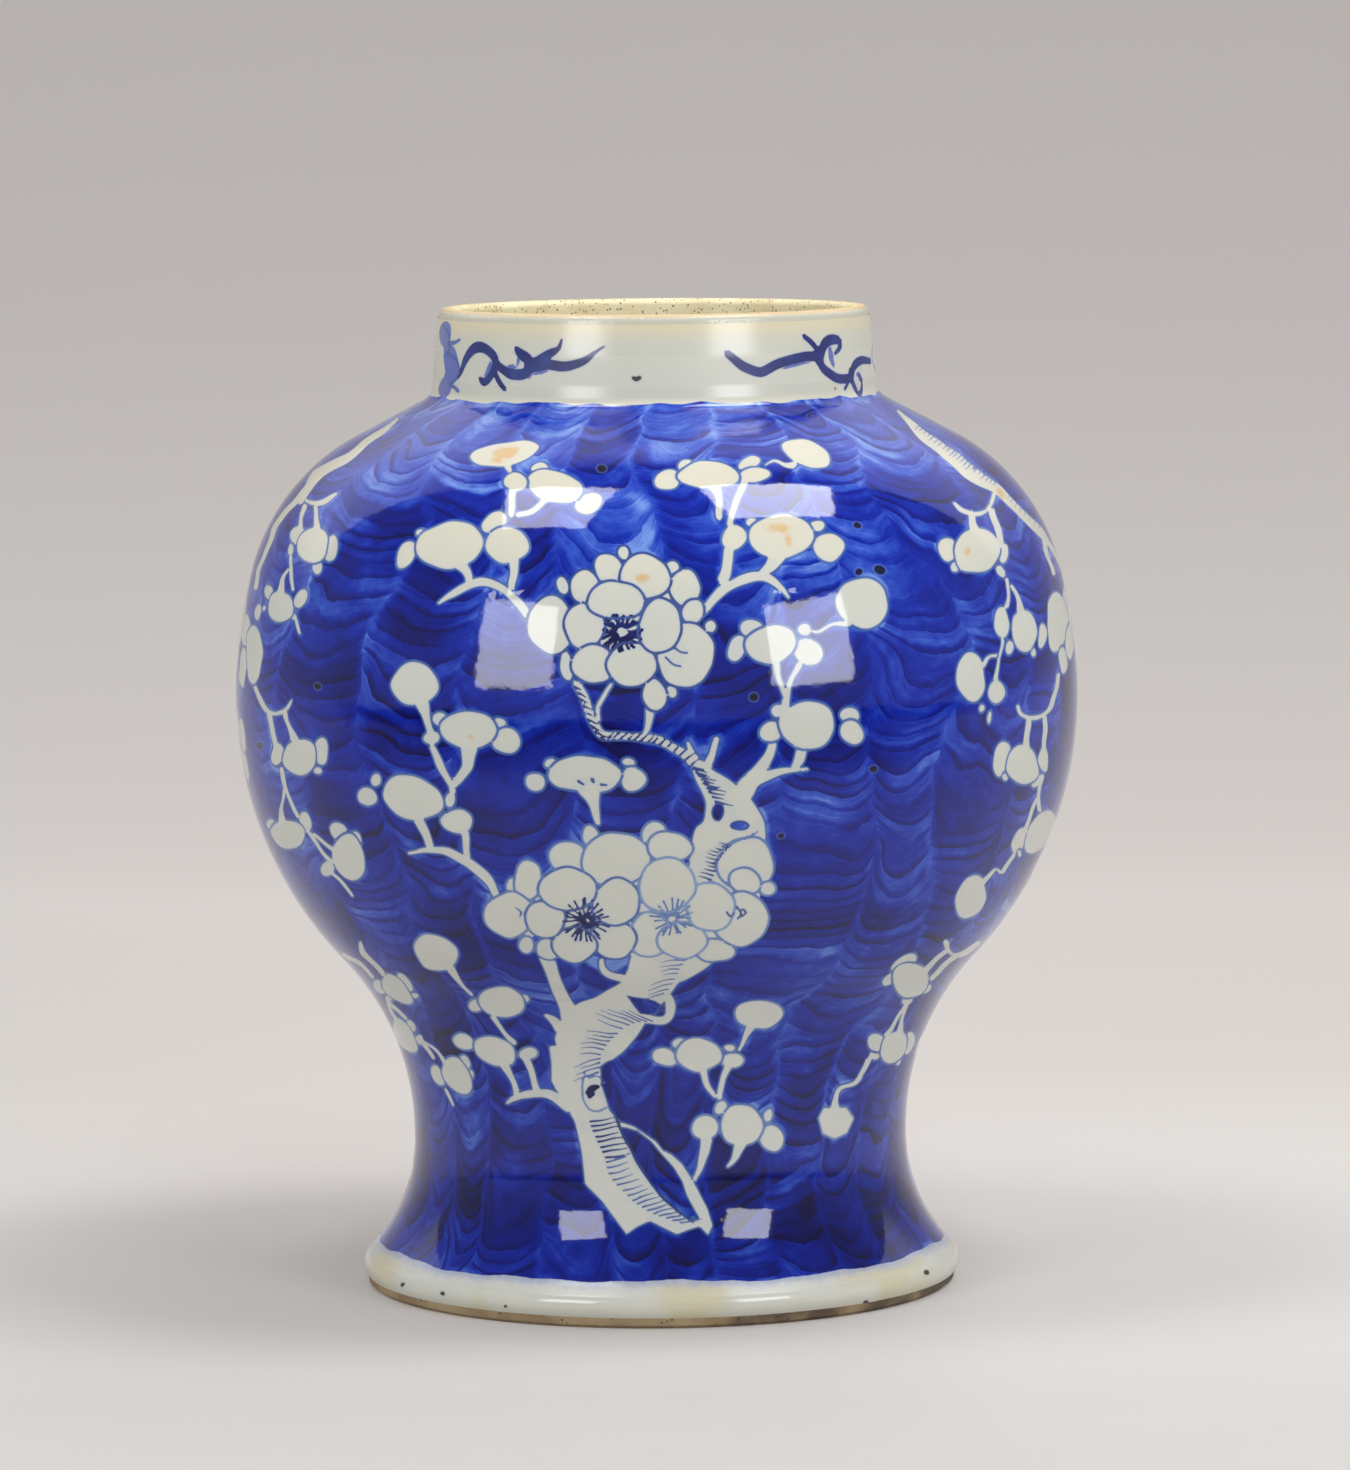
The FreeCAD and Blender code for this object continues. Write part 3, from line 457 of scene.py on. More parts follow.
FALLING_STEMS = [
    [(972, 512, 7), (973, 522, 7), (976, 532, 10)], [(992, 510, 6), (997, 526, 6), (1001, 545, 5)],
    [(1006, 577, 3), (1008, 594, 3), (1007, 608, 5)], [(1010, 584, 3), (1018, 597, 4), (1022, 612, 8)],
    [(983, 666, 5), (988, 656, 4), (997, 655, 4)], [(1002, 640, 3), (998, 668, 3), (996, 682, 5)],
    [(1029, 720, 5), (1026, 736, 5), (1025, 748, 8)], [(1045, 716, 4), (1044, 736, 4), (1044, 748, 4)],
    [(1042, 774, 3), (1038, 794, 3), (1041, 812, 4)], [(1039, 794, 3), (1028, 824, 3), (1024, 832, 4)],
    [(1014, 854, 3), (1003, 873, 4), (996, 869, 3), (985, 880, 5), (978, 888, 8)],
    [(948, 950, 4), (930, 966, 4), (921, 974, 7)], [(957, 955, 4), (944, 966, 4), (930, 979, 4)],
    [(908, 1003, 4), (895, 1023, 3), (886, 1036, 5)], [(907, 1006, 3), (903, 1020, 3), (899, 1034, 7)],
    [(870, 1057, 4), (860, 1080, 4)], [(316, 504, 4), (316, 516, 4), (316, 529, 8)],
    [(306, 504, 4), (301, 518, 3), (299, 530, 5)], [(292, 556, 3), (291, 574, 3), (292, 590, 3)],
    [(289, 568, 2), (283, 577, 3), (279, 594, 7)], [(296, 618, 3), (299, 634, 3)],
    [(270, 714, 5), (273, 732, 4), (275, 748, 5)], [(285, 711, 5), (289, 724, 4), (294, 740, 8)],
    [(282, 768, 4), (287, 795, 3), (300, 818, 3)], [(284, 789, 3), (281, 806, 3), (283, 822, 8)],
    [(308, 832, 3), (322, 852, 3), (334, 864, 4)], [(312, 834, 3), (324, 844, 3), (338, 852, 5)],
    [(332, 874, 3), (342, 884, 3), (354, 898, 2)],
    [(343, 953, 3), (352, 958, 4), (361, 964, 3), (373, 978, 2)],
    [(360, 942, 3), (364, 953, 5), (372, 962, 4), (383, 976, 4)],
    [(387, 996, 3), (390, 1004, 3), (398, 1012, 3), (406, 1020, 3)],
    [(388, 1002, 2), (391, 1012, 2), (396, 1022, 3)], [(420, 1036, 4), (425, 1046, 4), (433, 1060, 3)],
    [(424, 1042, 3), (435, 1050, 3), (444, 1062, 4)], [(445, 1089, 2), (449, 1098, 3), (453, 1107, 2)]]
paint_wood(*FALLING_STEMS)
print(len(whites), "white shapes in all")

# %% [markdown]
# ## Stamens, bark and scrolls
#
# The fine brush comes last. Stamens are short rays round a ring, bark is rows of short strokes that
# start at an edge and thin out, and the neck has two curling sprigs. Each stroke is a line with a
# width at each point, and a depth, since a loaded brush leaves navy and a tired one leaves pale
# blue.


# %% Rays and rows of short strokes
def stamens(across, down, inner, outer, count, depth, width=1.9):
    """Short rays round the middle of an open flower, round a small ring."""
    turns = np.linspace(0, 2 * math.pi, count, endpoint=False) + hand.uniform(-0.1, 0.1, count)
    for turn, length in zip(turns, hand.uniform(0.75, 1.05, count)):
        aim = np.array([math.cos(turn), math.sin(turn) * 0.92])
        start = np.array([across, down]) + aim * inner
        end = np.array([across, down]) + aim * outer * length
        middle = start * 0.35 + end * 0.65
        draw(depth, [(*start, width * 0.8), (*middle, width), (*end, width * 1.35)])
    ring = [(across + inner * 0.8 * math.cos(turn), down + inner * 0.7 * math.sin(turn), width * 0.8)
            for turn in np.linspace(0.4, 5.4, 9)]
    draw(depth, ring)


def hatch(depth, path, count, reach, width=1.8, loose=0.3):
    """Short strokes that start along a path and reach off it, thinning out, by (across, down) pixels."""
    line = smooth([(*point, 0) for point in path], 1.0)[:, :2]
    reach = np.array(reach, float)
    for place in np.linspace(0, len(line) - 1, count).astype(int):
        length = 1 + hand.uniform(-loose, loose)
        start, end = line[place], line[place] + reach * length
        middle = line[place] + reach * length * 0.5 + hand.uniform(-0.8, 0.8, 2)
        draw(depth, [(*start, width), (*middle, width * 0.75), (*end, width * 0.3)])


# across, down, inner and outer radius, number of rays, depth, width
STAMENS = [
    (621, 633, 8, 23, 22, 0.95, 2.4), (586, 922, 5, 25, 24, 0.9, 1.7), (671, 918, 5, 22, 20, 0.55, 1.6)]
for row in STAMENS:
    stamens(*row)
DARK_DOTS = [
    [(612, 634, 5), (616, 637, 6), (615, 641, 5)], [(583, 922, 6), (590, 927, 6), (597, 925, 5)],
    [(587, 1092, 4), (592, 1088, 7), (598, 1087, 4)], [(589, 1096, 4), (593, 1093, 4)]]
draw(0.95, *DARK_DOTS)
PETAL_VEINS = [
    [(675, 649, 2), (680, 653, 2), (686, 654, 2)], [(665, 657, 2), (673, 664, 2), (681, 667, 2)],
    [(727, 911, 2), (731, 916, 2), (735, 914, 2)], [(737, 908, 2), (742, 914, 2), (739, 919, 2)],
    [(743, 910, 2), (747, 913, 2), (743, 917, 2)], [(516, 908, 1), (521, 913, 2), (519, 917, 1)],
    [(578, 782, 3), (583, 785, 2)], [(592, 779, 4), (593, 782, 3)], [(600, 784, 3), (606, 784, 2)]]
draw(0.7, *PETAL_VEINS)
# depth, the path that strokes start from, their number, their reach, and their width and looseness
BARK = [
    (0.8, [(691, 766), (703, 781), (714, 801)], 10, (15, 3), 2.0),
    (0.85, [(730, 846), (721, 856), (716, 868), (712, 879)], 11, (-11, -3), 1.8),
    (0.5, [(757, 832), (744, 836), (734, 843)], 6, (-9, 6), 1.6),
    (0.62, [(684, 959), (676, 974), (671, 987), (664, 994)], 8, (-19, 4), 1.7),
    (0.62, [(652, 1021), (636, 1023), (622, 1029)], 6, (-26, -11), 1.7),
    (0.66, [(617, 1033), (606, 1043), (600, 1055)], 6, (-24, -1), 1.7),
    (0.62, [(600, 1059), (599, 1073)], 4, (-21, 6), 1.6),
    (0.82, [(591, 1121), (597, 1138), (605, 1157)], 8, (24, -3), 2.3, 0.1),
    (0.6, [(606, 1162), (612, 1176), (626, 1194), (645, 1208), (664, 1218), (680, 1223)], 16, (20, -5),
     1.9, 0.12)]
for row in BARK:
    hatch(*row)
HOLLOW_LINE = [
    (614, 1112, 3), (620, 1127, 3), (625, 1141, 3), (632, 1153, 2.5), (642, 1169, 3), (652, 1186, 2.5),
    (665, 1200, 3), (678, 1211, 2.5), (692, 1221, 3)]
draw(0.8, HOLLOW_LINE)
HIGH_BARK = [
    (0.85, [(572, 686), (582, 704), (590, 724), (600, 738)], 9, (9, 5), 2.3, 0.15),
    (0.85, [(606, 741), (630, 741), (655, 744), (676, 755), (690, 766)], 14, (8, -8), 2.2, 0.15)]
for row in HIGH_BARK:
    hatch(*row)
FALLING_BARK = [
    (0.5, [(921, 425), (942, 440), (962, 455), (982, 470), (997, 482)], 22, (-5, 5), 1.5),
    (0.35, [(1010, 495), (1026, 510), (1040, 524)], 8, (-3, 5), 1.2)]
for row in FALLING_BARK:
    hatch(*row)
KNOT_LINES = [
    [(586, 1074, 2), (583, 1084, 2), (583, 1098, 2), (588, 1108, 2), (597, 1111, 2), (606, 1108, 2)],
    [(590, 1078, 1.5), (599, 1077, 1.5), (605, 1084, 1.5)]]
draw(0.45, *KNOT_LINES)
print(len(lines), "brush lines so far")

# %% Sprigs on the neck
SPRIGS = [
    [(458, 376, 4), (463, 363, 7), (470, 352, 9), (478, 348, 9), (486, 350, 8), (493, 358, 8),
     (495, 368, 8), (491, 377, 7), (485, 382, 7), (480, 378, 4)],
    [(497, 377, 5), (500, 383, 5), (505, 390, 4)],
    [(515, 347, 4), (520, 353, 8), (529, 360, 9), (530, 366, 8)],
    [(494, 363, 5), (504, 370, 7), (514, 374, 9), (525, 373, 9), (531, 366, 9)],
    [(529, 366, 9), (541, 361, 9), (551, 354, 7), (559, 348, 4), (561, 339, 2)],
    [(527, 370, 5), (546, 366, 8), (566, 366, 8), (585, 360, 6), (596, 353, 3), (605, 347, 1)],
    [(728, 353, 6), (735, 359, 7), (744, 366, 8), (760, 372, 8), (777, 365, 8), (797, 357, 8),
     (820, 357, 8)], [(804, 336, 4), (811, 344, 5), (818, 353, 5)],
    [(820, 361, 9), (822, 348, 9), (829, 340, 9), (838, 340, 7), (840, 347, 5), (835, 354, 3)],
    [(820, 358, 8), (825, 370, 8), (837, 379, 8), (851, 378, 7)],
    [(851, 381, 6), (854, 366, 8), (862, 360, 7), (871, 361, 5)],
    [(850, 371, 5), (852, 384, 6), (859, 394, 5), (861, 383, 4), (859, 374, 3)],
    [(848, 381, 3), (844, 390, 3)]]
draw(0.86, *SPRIGS, swell=1.22)
SIDE_SPRIGS = [
    [(443, 325, 2), (449, 334, 2), (450, 348, 2), (446, 357, 2)],
    [(447, 352, 2), (457, 360, 2), (457, 378, 2), (449, 384, 2)],
    [(449, 343, 4), (455, 342, 3), (461, 339, 2)], [(449, 385, 3), (455, 388, 3), (459, 392, 3)],
    [(870, 322, 2), (873, 340, 2), (873, 362, 2), (877, 384, 2)]]
draw(0.6, *SIDE_SPRIGS, swell=1.4)
PALE_LEAVES = [
    (445, 333, 11, 24), (451, 364, 13, 38), (445, 388, 12, 18)]
PALE_CURLS = [
    [(484, 360, 5), (490, 368, 5), (485, 375, 4)], [(507, 367, 3), (516, 365, 4), (520, 356, 4)],
    [(526, 377, 2), (538, 374, 4), (550, 370, 2)], [(782, 369, 2), (796, 363, 4), (812, 361, 2)],
    [(830, 348, 4), (832, 360, 4), (838, 370, 3)], [(857, 372, 3), (861, 380, 3)]]
for outline in [petal(*row) for row in PALE_LEAVES] + [bough(points) for points in PALE_CURLS]:
    pales.append(on_the_wall(outline))
print(len(lines), "brush lines")

# %% [markdown]
# ## Marks of the kiln
#
# Iron in the clay burns to rusty stains under the glaze, and bubbles that burst leave small dark
# pits. The ones that show are laid down one by one at their own places. Fine specks are left to
# chance further below, since nobody would know one from another.

# %% Rusty stains and pits
STAINS = [
    (505, 452, 26, 11, -8), (497, 460, 12, 6), (779, 528, 30, 7, 12), (789, 541, 7, 9),
    (643, 578, 12, 7), (967, 552, 8, 8), (1000, 494, 14, 5, 45), (470, 736, 8, 4)]
for row in STAINS:
    rusts.append(on_the_wall(petal(*row)))
PITS = [
    (601, 469, 6), (880, 570, 8), (857, 526, 5), (859, 572, 5), (754, 698, 6), (317, 687, 5),
    (259, 745, 5), (874, 768, 5), (634, 377, 3), (637, 378, 4), (640, 377, 3), (781, 836, 4),
    (443, 1293, 3), (927, 1273, 4), (402, 1284, 3), (506, 1306, 2), (866, 1303, 3)]
for across, down, wide in PITS:
    pits.append(on_the_wall(petal(across, down, wide * 1.2, wide)))
print(len(rusts), "rusty patches and", len(pits), "pits")

# %% [markdown]
# ## The hidden half
#
# The picture shows only the front. On such vases rising and falling trees take turns all the way
# round, so the pattern is laid down a second time, half a turn on and a little bent, as a second
# round by the same hand would be. The two falling trees that then meet at each side get a few more
# flowers between them.

# %% Lay the pattern down all round
# degrees from the side, height, petal's width and height in mm, and number of petals
SIDE_FLOWERS = [(0, 178, 17, 14, 6), (-7, 118, 10, 9, 4), (4, 92, 9, 8, 3), (-5, 64, 8, 7, 3),
                (9, 146, 10, 9, 4), (2, 34, 7, 6, 3)]
PETAL_OUT = 0.62  # how far out a petal sits, as a share of its size
RAYS, RAY_HALF = 18, 0.24


def bent(shape):
    """A shape moved to the back, a little bent."""
    return np.column_stack([shape[:, 0] + math.pi + 0.02 * np.sin(9 * shape[:, 1]),
                            shape[:, 1] + 0.012 * np.sin(5 * shape[:, 0])])


def oval(turn, height, wide, high):
    """A petal given by its turn in radians and its sizes in mm."""
    ring = petal(0, 0, wide, high)
    radius = float(vase_radius(height))
    return np.column_stack([turn + ring[:, 0] / radius, rise_of(height) - ring[:, 1] / radius])


whites += [(kind, bent(shape), line) for kind, shape, line in whites]
holes += [bent(shape) for shape in holes]
pales += [bent(shape) for shape in pales]
rusts += [bent(shape) for shape in rusts]
pits += [bent(shape) for shape in pits]
lines += [(bent(shape), width, depth) for shape, width, depth in lines]
for side in (-1, 1):
    for degrees, height, wide, high, count in SIDE_FLOWERS:
        middle = math.radians(90 * side + degrees)
        radius = float(vase_radius(height))
        for turn in np.linspace(0, 2 * math.pi, count, endpoint=False) + side:
            across = middle + PETAL_OUT * wide * math.cos(turn) / radius
            up = height + PETAL_OUT * high * math.sin(turn)
            whites.append(("petal", oval(across, up, wide * 0.85, high * 0.9), 0.5))
        if count > 4:
            for turn in np.linspace(0, 2 * math.pi, RAYS, endpoint=False):
                out = np.linspace(2, 6.5, 6)
                ray = np.outer(out, (math.cos(turn), math.sin(turn))) / radius
                lines.append((ray + (middle, rise_of(height)), np.full(len(out), RAY_HALF), 0.85))
print(len(whites), "white shapes and", len(lines), "brush lines all round")

# %% [markdown]
# ## How far is it to a line?
#
# The finish needs to know, at every point of the glaze, how far it is to the edge of the white and
# to the nearest brush line. Stored at the mesh's points as plain millimetres, these distances blend
# evenly over a facet, so an edge stays sharp at any zoom. Storing colours at the points would smear
# every edge over a facet.


# %% Distances to outlines and strokes
def segment_distance(spots, start, end):
    """From each spot to each segment: the distance, and how far along the segment it is."""
    along = end - start
    span = (along ** 2).sum(1) + 1e-18
    share = np.clip(((spots[:, None] - start) * along).sum(2) / span, 0, 1)
    gap = spots[:, None] - start - share[..., None] * along
    return np.hypot(gap[..., 0], gap[..., 1]), share


def outline_distance(spots, ring):
    """The distance to a closed outline, negative inside."""
    start, end = ring, np.roll(ring, -1, 0)
    near = segment_distance(spots, start, end)[0].min(1)
    x, y = spots[:, :1], spots[:, 1:]
    turned = (end[:, 0] - start[:, 0]) * (y - start[:, 1]) - (x - start[:, 0]) * (end[:, 1] - start[:, 1])
    up = (start[:, 1] <= y) & (end[:, 1] > y) & (turned > 0)
    down = (start[:, 1] > y) & (end[:, 1] <= y) & (turned < 0)
    return np.where(up.sum(1) != down.sum(1), -near, near)


def near_box(spots, shape, margin):
    """Which spots lie in or near the box round a shape."""
    low, high = shape.min(0) - margin, shape.max(0) + margin
    return np.nonzero(((spots > low) & (spots < high)).all(1))[0]


SEAMS = [math.radians(turn) for turn in (-135, -45, 45, 135, 225)]
MARGIN = 0.06  # how near a shape must be to matter, in units of the map


def placed(shapes, outline=lambda item: item[1]):
    """The shapes with those past the seam at the back set down again a whole turn round."""
    again = []
    for item in shapes:
        ring = outline(item)
        for turn in (0, -2 * math.pi):
            if ring[:, 0].max() + turn > SEAMS[0] - MARGIN and ring[:, 0].min() + turn < SEAMS[-1] + MARGIN:
                again.append((item, ring + (turn, 0)))
    return again


white_rings = [(item[0], ring, item[2]) for item, ring in placed(whites)]
hole_rings = [ring for _, ring in placed(holes, lambda item: item)]
pale_rings = [ring for _, ring in placed(pales, lambda item: item)]
rust_rings = [ring for _, ring in placed(rusts, lambda item: item)]
pit_rings = [ring for _, ring in placed(pits, lambda item: item)]
print(len(white_rings), "white outlines with their repeats over the seam")

# %% [markdown]
# ## Where an edge shows
#
# A petal's edge is drawn only where no nearer petal lies over it, and wood has no line where it
# meets more wood. Each outline is walked in short steps, and the steps that lie inside a shape on
# top are dropped.


# %% Find the edges that show
def walked(line, gap):
    """A line's points at even steps of a gap in mm; further columns are carried along."""
    radius = at_rise(line[:, 1], chart_radius)
    lengths = np.hypot(*np.diff(line[:, :2], axis=0).T) * (radius[1:] + radius[:-1]) / 2
    along = np.concatenate([[0], np.cumsum(lengths)])
    marks = np.linspace(0, along[-1], max(int(round(along[-1] / gap)), 1) + 1)
    return np.column_stack([np.interp(marks, along, column) for column in line.T])


# in mm: half the width of an edge line, and how deep under another shape it may run and still show
EDGE_HALF = {"petal": 0.36, "wood": 0.27}
UNDER = {"petal": 0.05, "wood": 0.25}
HOLE_HALF, HOLE_DEPTH = 0.26, 0.7
strokes = []
for number, (kind, ring, depth) in enumerate(white_rings):
    if kind == "fill":
        continue
    steps = walked(np.vstack([ring, ring[:1]]), 0.4)
    radius = at_rise(steps[:, 1], chart_radius)
    shown = np.ones(len(steps), bool)
    for other, (_, cover, _) in enumerate(white_rings):
        if other <= number if kind == "petal" else other == number:
            continue
        if (cover.min(0) > steps[:, :2].max(0)).any() or (cover.max(0) < steps[:, :2].min(0)).any():
            continue
        shown &= outline_distance(steps, cover) * radius > -UNDER[kind]
    for run in np.split(np.arange(len(steps)), np.nonzero(np.diff(shown.astype(int)))[0] + 1):
        if shown[run[0]] and len(run) > 2:
            strokes.append((steps[run], np.full(len(run), EDGE_HALF[kind]), depth))
for ring in hole_rings:
    steps = walked(np.vstack([ring, ring[:1]]), 0.5)
    strokes.append((steps, np.full(len(steps), HOLE_HALF), HOLE_DEPTH))
edge_count = len(strokes)
for (_, width, depth), ring in placed(lines, lambda item: item[0]):
    strokes.append((ring, width, depth))
print(edge_count, "runs of edge and", len(strokes) - edge_count, "strokes")

# %% [markdown]
# ## Points where the brush went
#
# An even grid fine enough for the stamens would take millions of facets. Instead we place points
# along every edge and stroke, and in a row at each side of it, with a loose grid in between, and
# let a Delaunay routine join them. Points closer than a third of a millimetre to an earlier one are
# left out.

# %% Place the points
CLOSE, GRID = 0.33, 2.3  # the least gap between points and the loose grid's gap, in mm
BELT_LEAST, GRID_LEAST = 0.7, 1.25  # how near the rows and the grid may come to a line's points, in mm
OUTSIDE = 0.34  # how far beyond a line's edge its side rows run, in mm


def rows_beside(line, offset):
    """A line's points and a row of points at each side of it, with one beyond each end."""
    along = np.gradient(line, axis=0)
    along /= np.hypot(along[:, 0], along[:, 1])[:, None] + 1e-12
    radius = at_rise(line[:, 1], chart_radius)[:, None]
    side = np.column_stack([-along[:, 1], along[:, 0]]) * offset[:, None] / radius
    return line, np.vstack([line + side, line - side, line[:1] - along[:1] * offset[0] / radius[:1],
                            line[-1:] + along[-1:] * offset[-1] / radius[-1:]])


middles, beside = [], []
for line, half, _ in strokes:
    steps = walked(np.column_stack([line[:, :2], half]), 0.8 if half.max() < 1 else 1.1)
    middle, side = rows_beside(steps[:, :2], steps[:, 2] + OUTSIDE)
    middles.append(middle)
    beside.append(side)
OUT_AND_IN = (1.6, 0.4)  # sizes of the rings of points round and in a stain or a pit
for ring in rust_rings + pit_rings:
    middles.append(ring)
    for share in OUT_AND_IN:
        beside.append(ring.mean(0) + (ring - ring.mean(0)) * share)


def low_edge(turn):
    """The height of the blue ground's wavy lower edge."""
    return 11.7 + 0.14 * np.sin(31 * turn) + 0.3 * np.sin(11 * turn + 1) + 0.3 * np.sin(5 * turn + 2)


def high_edge(turn):
    """The height of the blue ground's wavy upper edge, at the foot of the neck."""
    return 237.2 + 0.2 * np.sin(26 * turn + 2) + 0.25 * np.sin(9 * turn) + 0.12 * np.sin(41 * turn)


FOOT_RADIUS = 79
around = np.arange(SEAMS[0], SEAMS[-1], 0.9 / FOOT_RADIUS)
for edge in (low_edge, high_edge):
    rise = rise_of(edge(around))
    middles.append(np.column_stack([around, rise]))
    for shift in (-0.5, 0.5):
        beside.append(np.column_stack([around, rise + shift / at_rise(rise, chart_radius)]))
# tighter rows where the outline bends sharply: the foot's lip and the foot of the neck
SHARP_BENDS = [(GLAZE_LOW, 10.5), (234.5, 240.5)]
belts = []
for low, high in SHARP_BENDS:
    for height in np.arange(low, high, 0.75):
        belts.append(np.column_stack([around[::2], np.full(len(around[::2]), rise_of(height))]))
grid = []
rise, row = 0.0, 0
while rise < chart_rise[-1]:
    gap = GRID / at_rise(rise, chart_radius)
    turns = np.arange(SEAMS[0] + (row % 2) * gap / 2, SEAMS[-1], gap)
    grid.append(np.column_stack([turns, np.full(len(turns), rise)]))
    rise, row = rise + gap * 0.87, row + 1


def thinned(groups):
    """Points of the groups in turn, without those too close to one already taken."""
    smallest_radius, rim = 57, 0.0002
    taken, cells, size = [], {}, CLOSE / smallest_radius
    for points, spacing in groups:
        spots = np.vstack(points)
        spots = spots[(spots[:, 1] > rim) & (spots[:, 1] < chart_rise[-1] - rim)]
        spots = spots[(spots[:, 0] > SEAMS[0]) & (spots[:, 0] < SEAMS[-1])]
        limits = (spacing / at_rise(spots[:, 1], chart_radius)) ** 2
        keys = np.floor(spots / size).astype(int)
        cells_off = math.ceil(spacing / CLOSE)
        reach = range(-cells_off, cells_off + 1)
        for (x, y), limit, (i, j) in zip(spots.tolist(), limits.tolist(), keys.tolist()):
            if all((x - a) ** 2 + (y - b) ** 2 > limit for di in reach for dj in reach
                   for a, b in cells.get((i + di, j + dj), ())):
                cells.setdefault((i, j), []).append((x, y))
                taken.append((x, y))
    return np.array(taken)


UP_A_SEAM, ALONG_A_RIM = 560, 120  # numbers of points
seam_rises = np.interp(np.linspace(0, chart_climb[-1], UP_A_SEAM), chart_climb, chart_rise)
seam_rows = [np.column_stack([np.full(UP_A_SEAM, turn), seam_rises]) for turn in SEAMS]
rims = []
for rise in (0, chart_rise[-1]):
    for left, right_seam in zip(SEAMS, SEAMS[1:]):
        turns = np.linspace(left, right_seam, ALONG_A_RIM + 2)[1:-1]
        rims.append(np.column_stack([turns, np.full(ALONG_A_RIM, rise)]))
inner_points = thinned([(middles, CLOSE), (beside, CLOSE), (belts, BELT_LEAST), (grid, GRID_LEAST)])
OFF_A_SEAM = 0.22
for turn in SEAMS:
    off = np.abs(inner_points[:, 0] - turn) * at_rise(inner_points[:, 1], chart_radius)
    inner_points = inner_points[off > OFF_A_SEAM]
spots = np.vstack(seam_rows + rims + [inner_points])
print(len(spots), "points on the glaze")

# %% Measure every point
radii = at_rise(spots[:, 1], chart_radius)
heights = at_rise(spots[:, 1], chart_height)
FAR, INK_FAR = 6.0, 2.0  # distances that stand for nothing near, in mm
PLAIN_DEPTH = 0.6
NEAR_A_LINE = 0.035


def spread(rings, start):
    """The least signed distance in mm from every point to any of the outlines."""
    least = start.copy()
    for ring in rings:
        chosen = near_box(spots, ring, MARGIN)
        if len(chosen):
            least[chosen] = np.minimum(least[chosen], outline_distance(spots[chosen], ring) * radii[chosen])
    return least


white = np.minimum(heights - low_edge(spots[:, 0]), high_edge(spots[:, 0]) - heights)
white = spread([ring for _, ring, _ in white_rings], np.clip(white, -FAR, FAR))
hole = spread(hole_rings, np.full(len(spots), FAR))
white = np.clip(np.maximum(white, -hole), -FAR, FAR)
pale = spread(pale_rings, np.full(len(spots), FAR))
rust = spread(rust_rings, np.full(len(spots), FAR))
pit = spread(pit_rings, np.full(len(spots), FAR))
ink, depth_of_ink = np.full(len(spots), INK_FAR), np.full(len(spots), PLAIN_DEPTH)
for line, half, depth in strokes:
    chosen = near_box(spots, line[:, :2], NEAR_A_LINE)
    if not len(chosen):
        continue
    gaps, share = segment_distance(spots[chosen], line[:-1, :2], line[1:, :2])
    gaps = gaps * radii[chosen][:, None] - (half[:-1] + share * (half[1:] - half[:-1]))
    gap = gaps.min(1)
    nearer = gap < ink[chosen]
    ink[chosen[nearer]] = gap[nearer]
    depth_of_ink[chosen[nearer]] = depth
print("white covers", round(float((white < 0).mean()), 2), "of the points")

# %% [markdown]
# ## The painted glaze
#
# The glaze is a skin a third of a millimetre thick. It is made in four upright panels that meet
# edge to edge, because the whole round cannot be laid flat as one piece. Each panel is a closed
# solid: the painted face, a plainer face on the clay side, and a narrow wall between them. Its
# normals come from the arcs, so the gloss runs smoothly over the facets and from one panel to the
# next.

# %% Build the panels
COLUMNS = 26  # upright columns of wash strokes round the pot
SKIN = 0.3  # how thick a panel is, in mm
BACK_GAP = 0.07  # the gap of the back's loose grid, in units of the map
UNDER_NECK = (234.8, 240.4, 0.45)  # closer rows at the foot of the neck: from, to and gap, in mm
SIDE_MARGIN = 0.004  # on the map for baking, as a share of its width
PAINTED, BACK = (0.03, 0.967), (0.002, 0.02)  # where each starts on that map, and its share of the height
TINY, NO_AREA = 1e-9, 1e-12
slope = np.gradient(chart_radius, chart_climb)
lift = np.gradient(chart_height, chart_climb)


def on_glaze(places, depth=0.0):
    """Points in metres for places on the map, and their normals; depth goes into the wall."""
    turn, radius = places[:, 0], at_rise(places[:, 1], chart_radius)
    out, up = at_rise(places[:, 1], lift), -at_rise(places[:, 1], slope)
    size = np.hypot(out, up)
    out, up = out / size, up / size
    normal = np.column_stack([out * np.sin(turn), -out * np.cos(turn), up])
    height = at_rise(places[:, 1], chart_height)
    point = np.column_stack([radius * np.sin(turn), -radius * np.cos(turn), height])
    return (point - normal * depth) * MM, normal


def joined(places):
    """Triangles between places on the map, turned to face outwards."""
    corners = [Vector(place) for place in places.tolist()]
    _, _, faces, origin, _, _ = delaunay_2d_cdt(corners, [], [], 0, TINY)
    source = np.array([ids[0] for ids in origin])
    faces = source[np.array([face[:] for face in faces])]
    a, b, c = (places[faces[:, corner]] for corner in range(3))
    area = (b[:, 0] - a[:, 0]) * (c[:, 1] - a[:, 1]) - (b[:, 1] - a[:, 1]) * (c[:, 0] - a[:, 0])
    kept = np.abs(area) > NO_AREA
    faces, area = faces[kept], area[kept]
    faces[area < 0] = faces[area < 0][:, ::-1]
    return faces


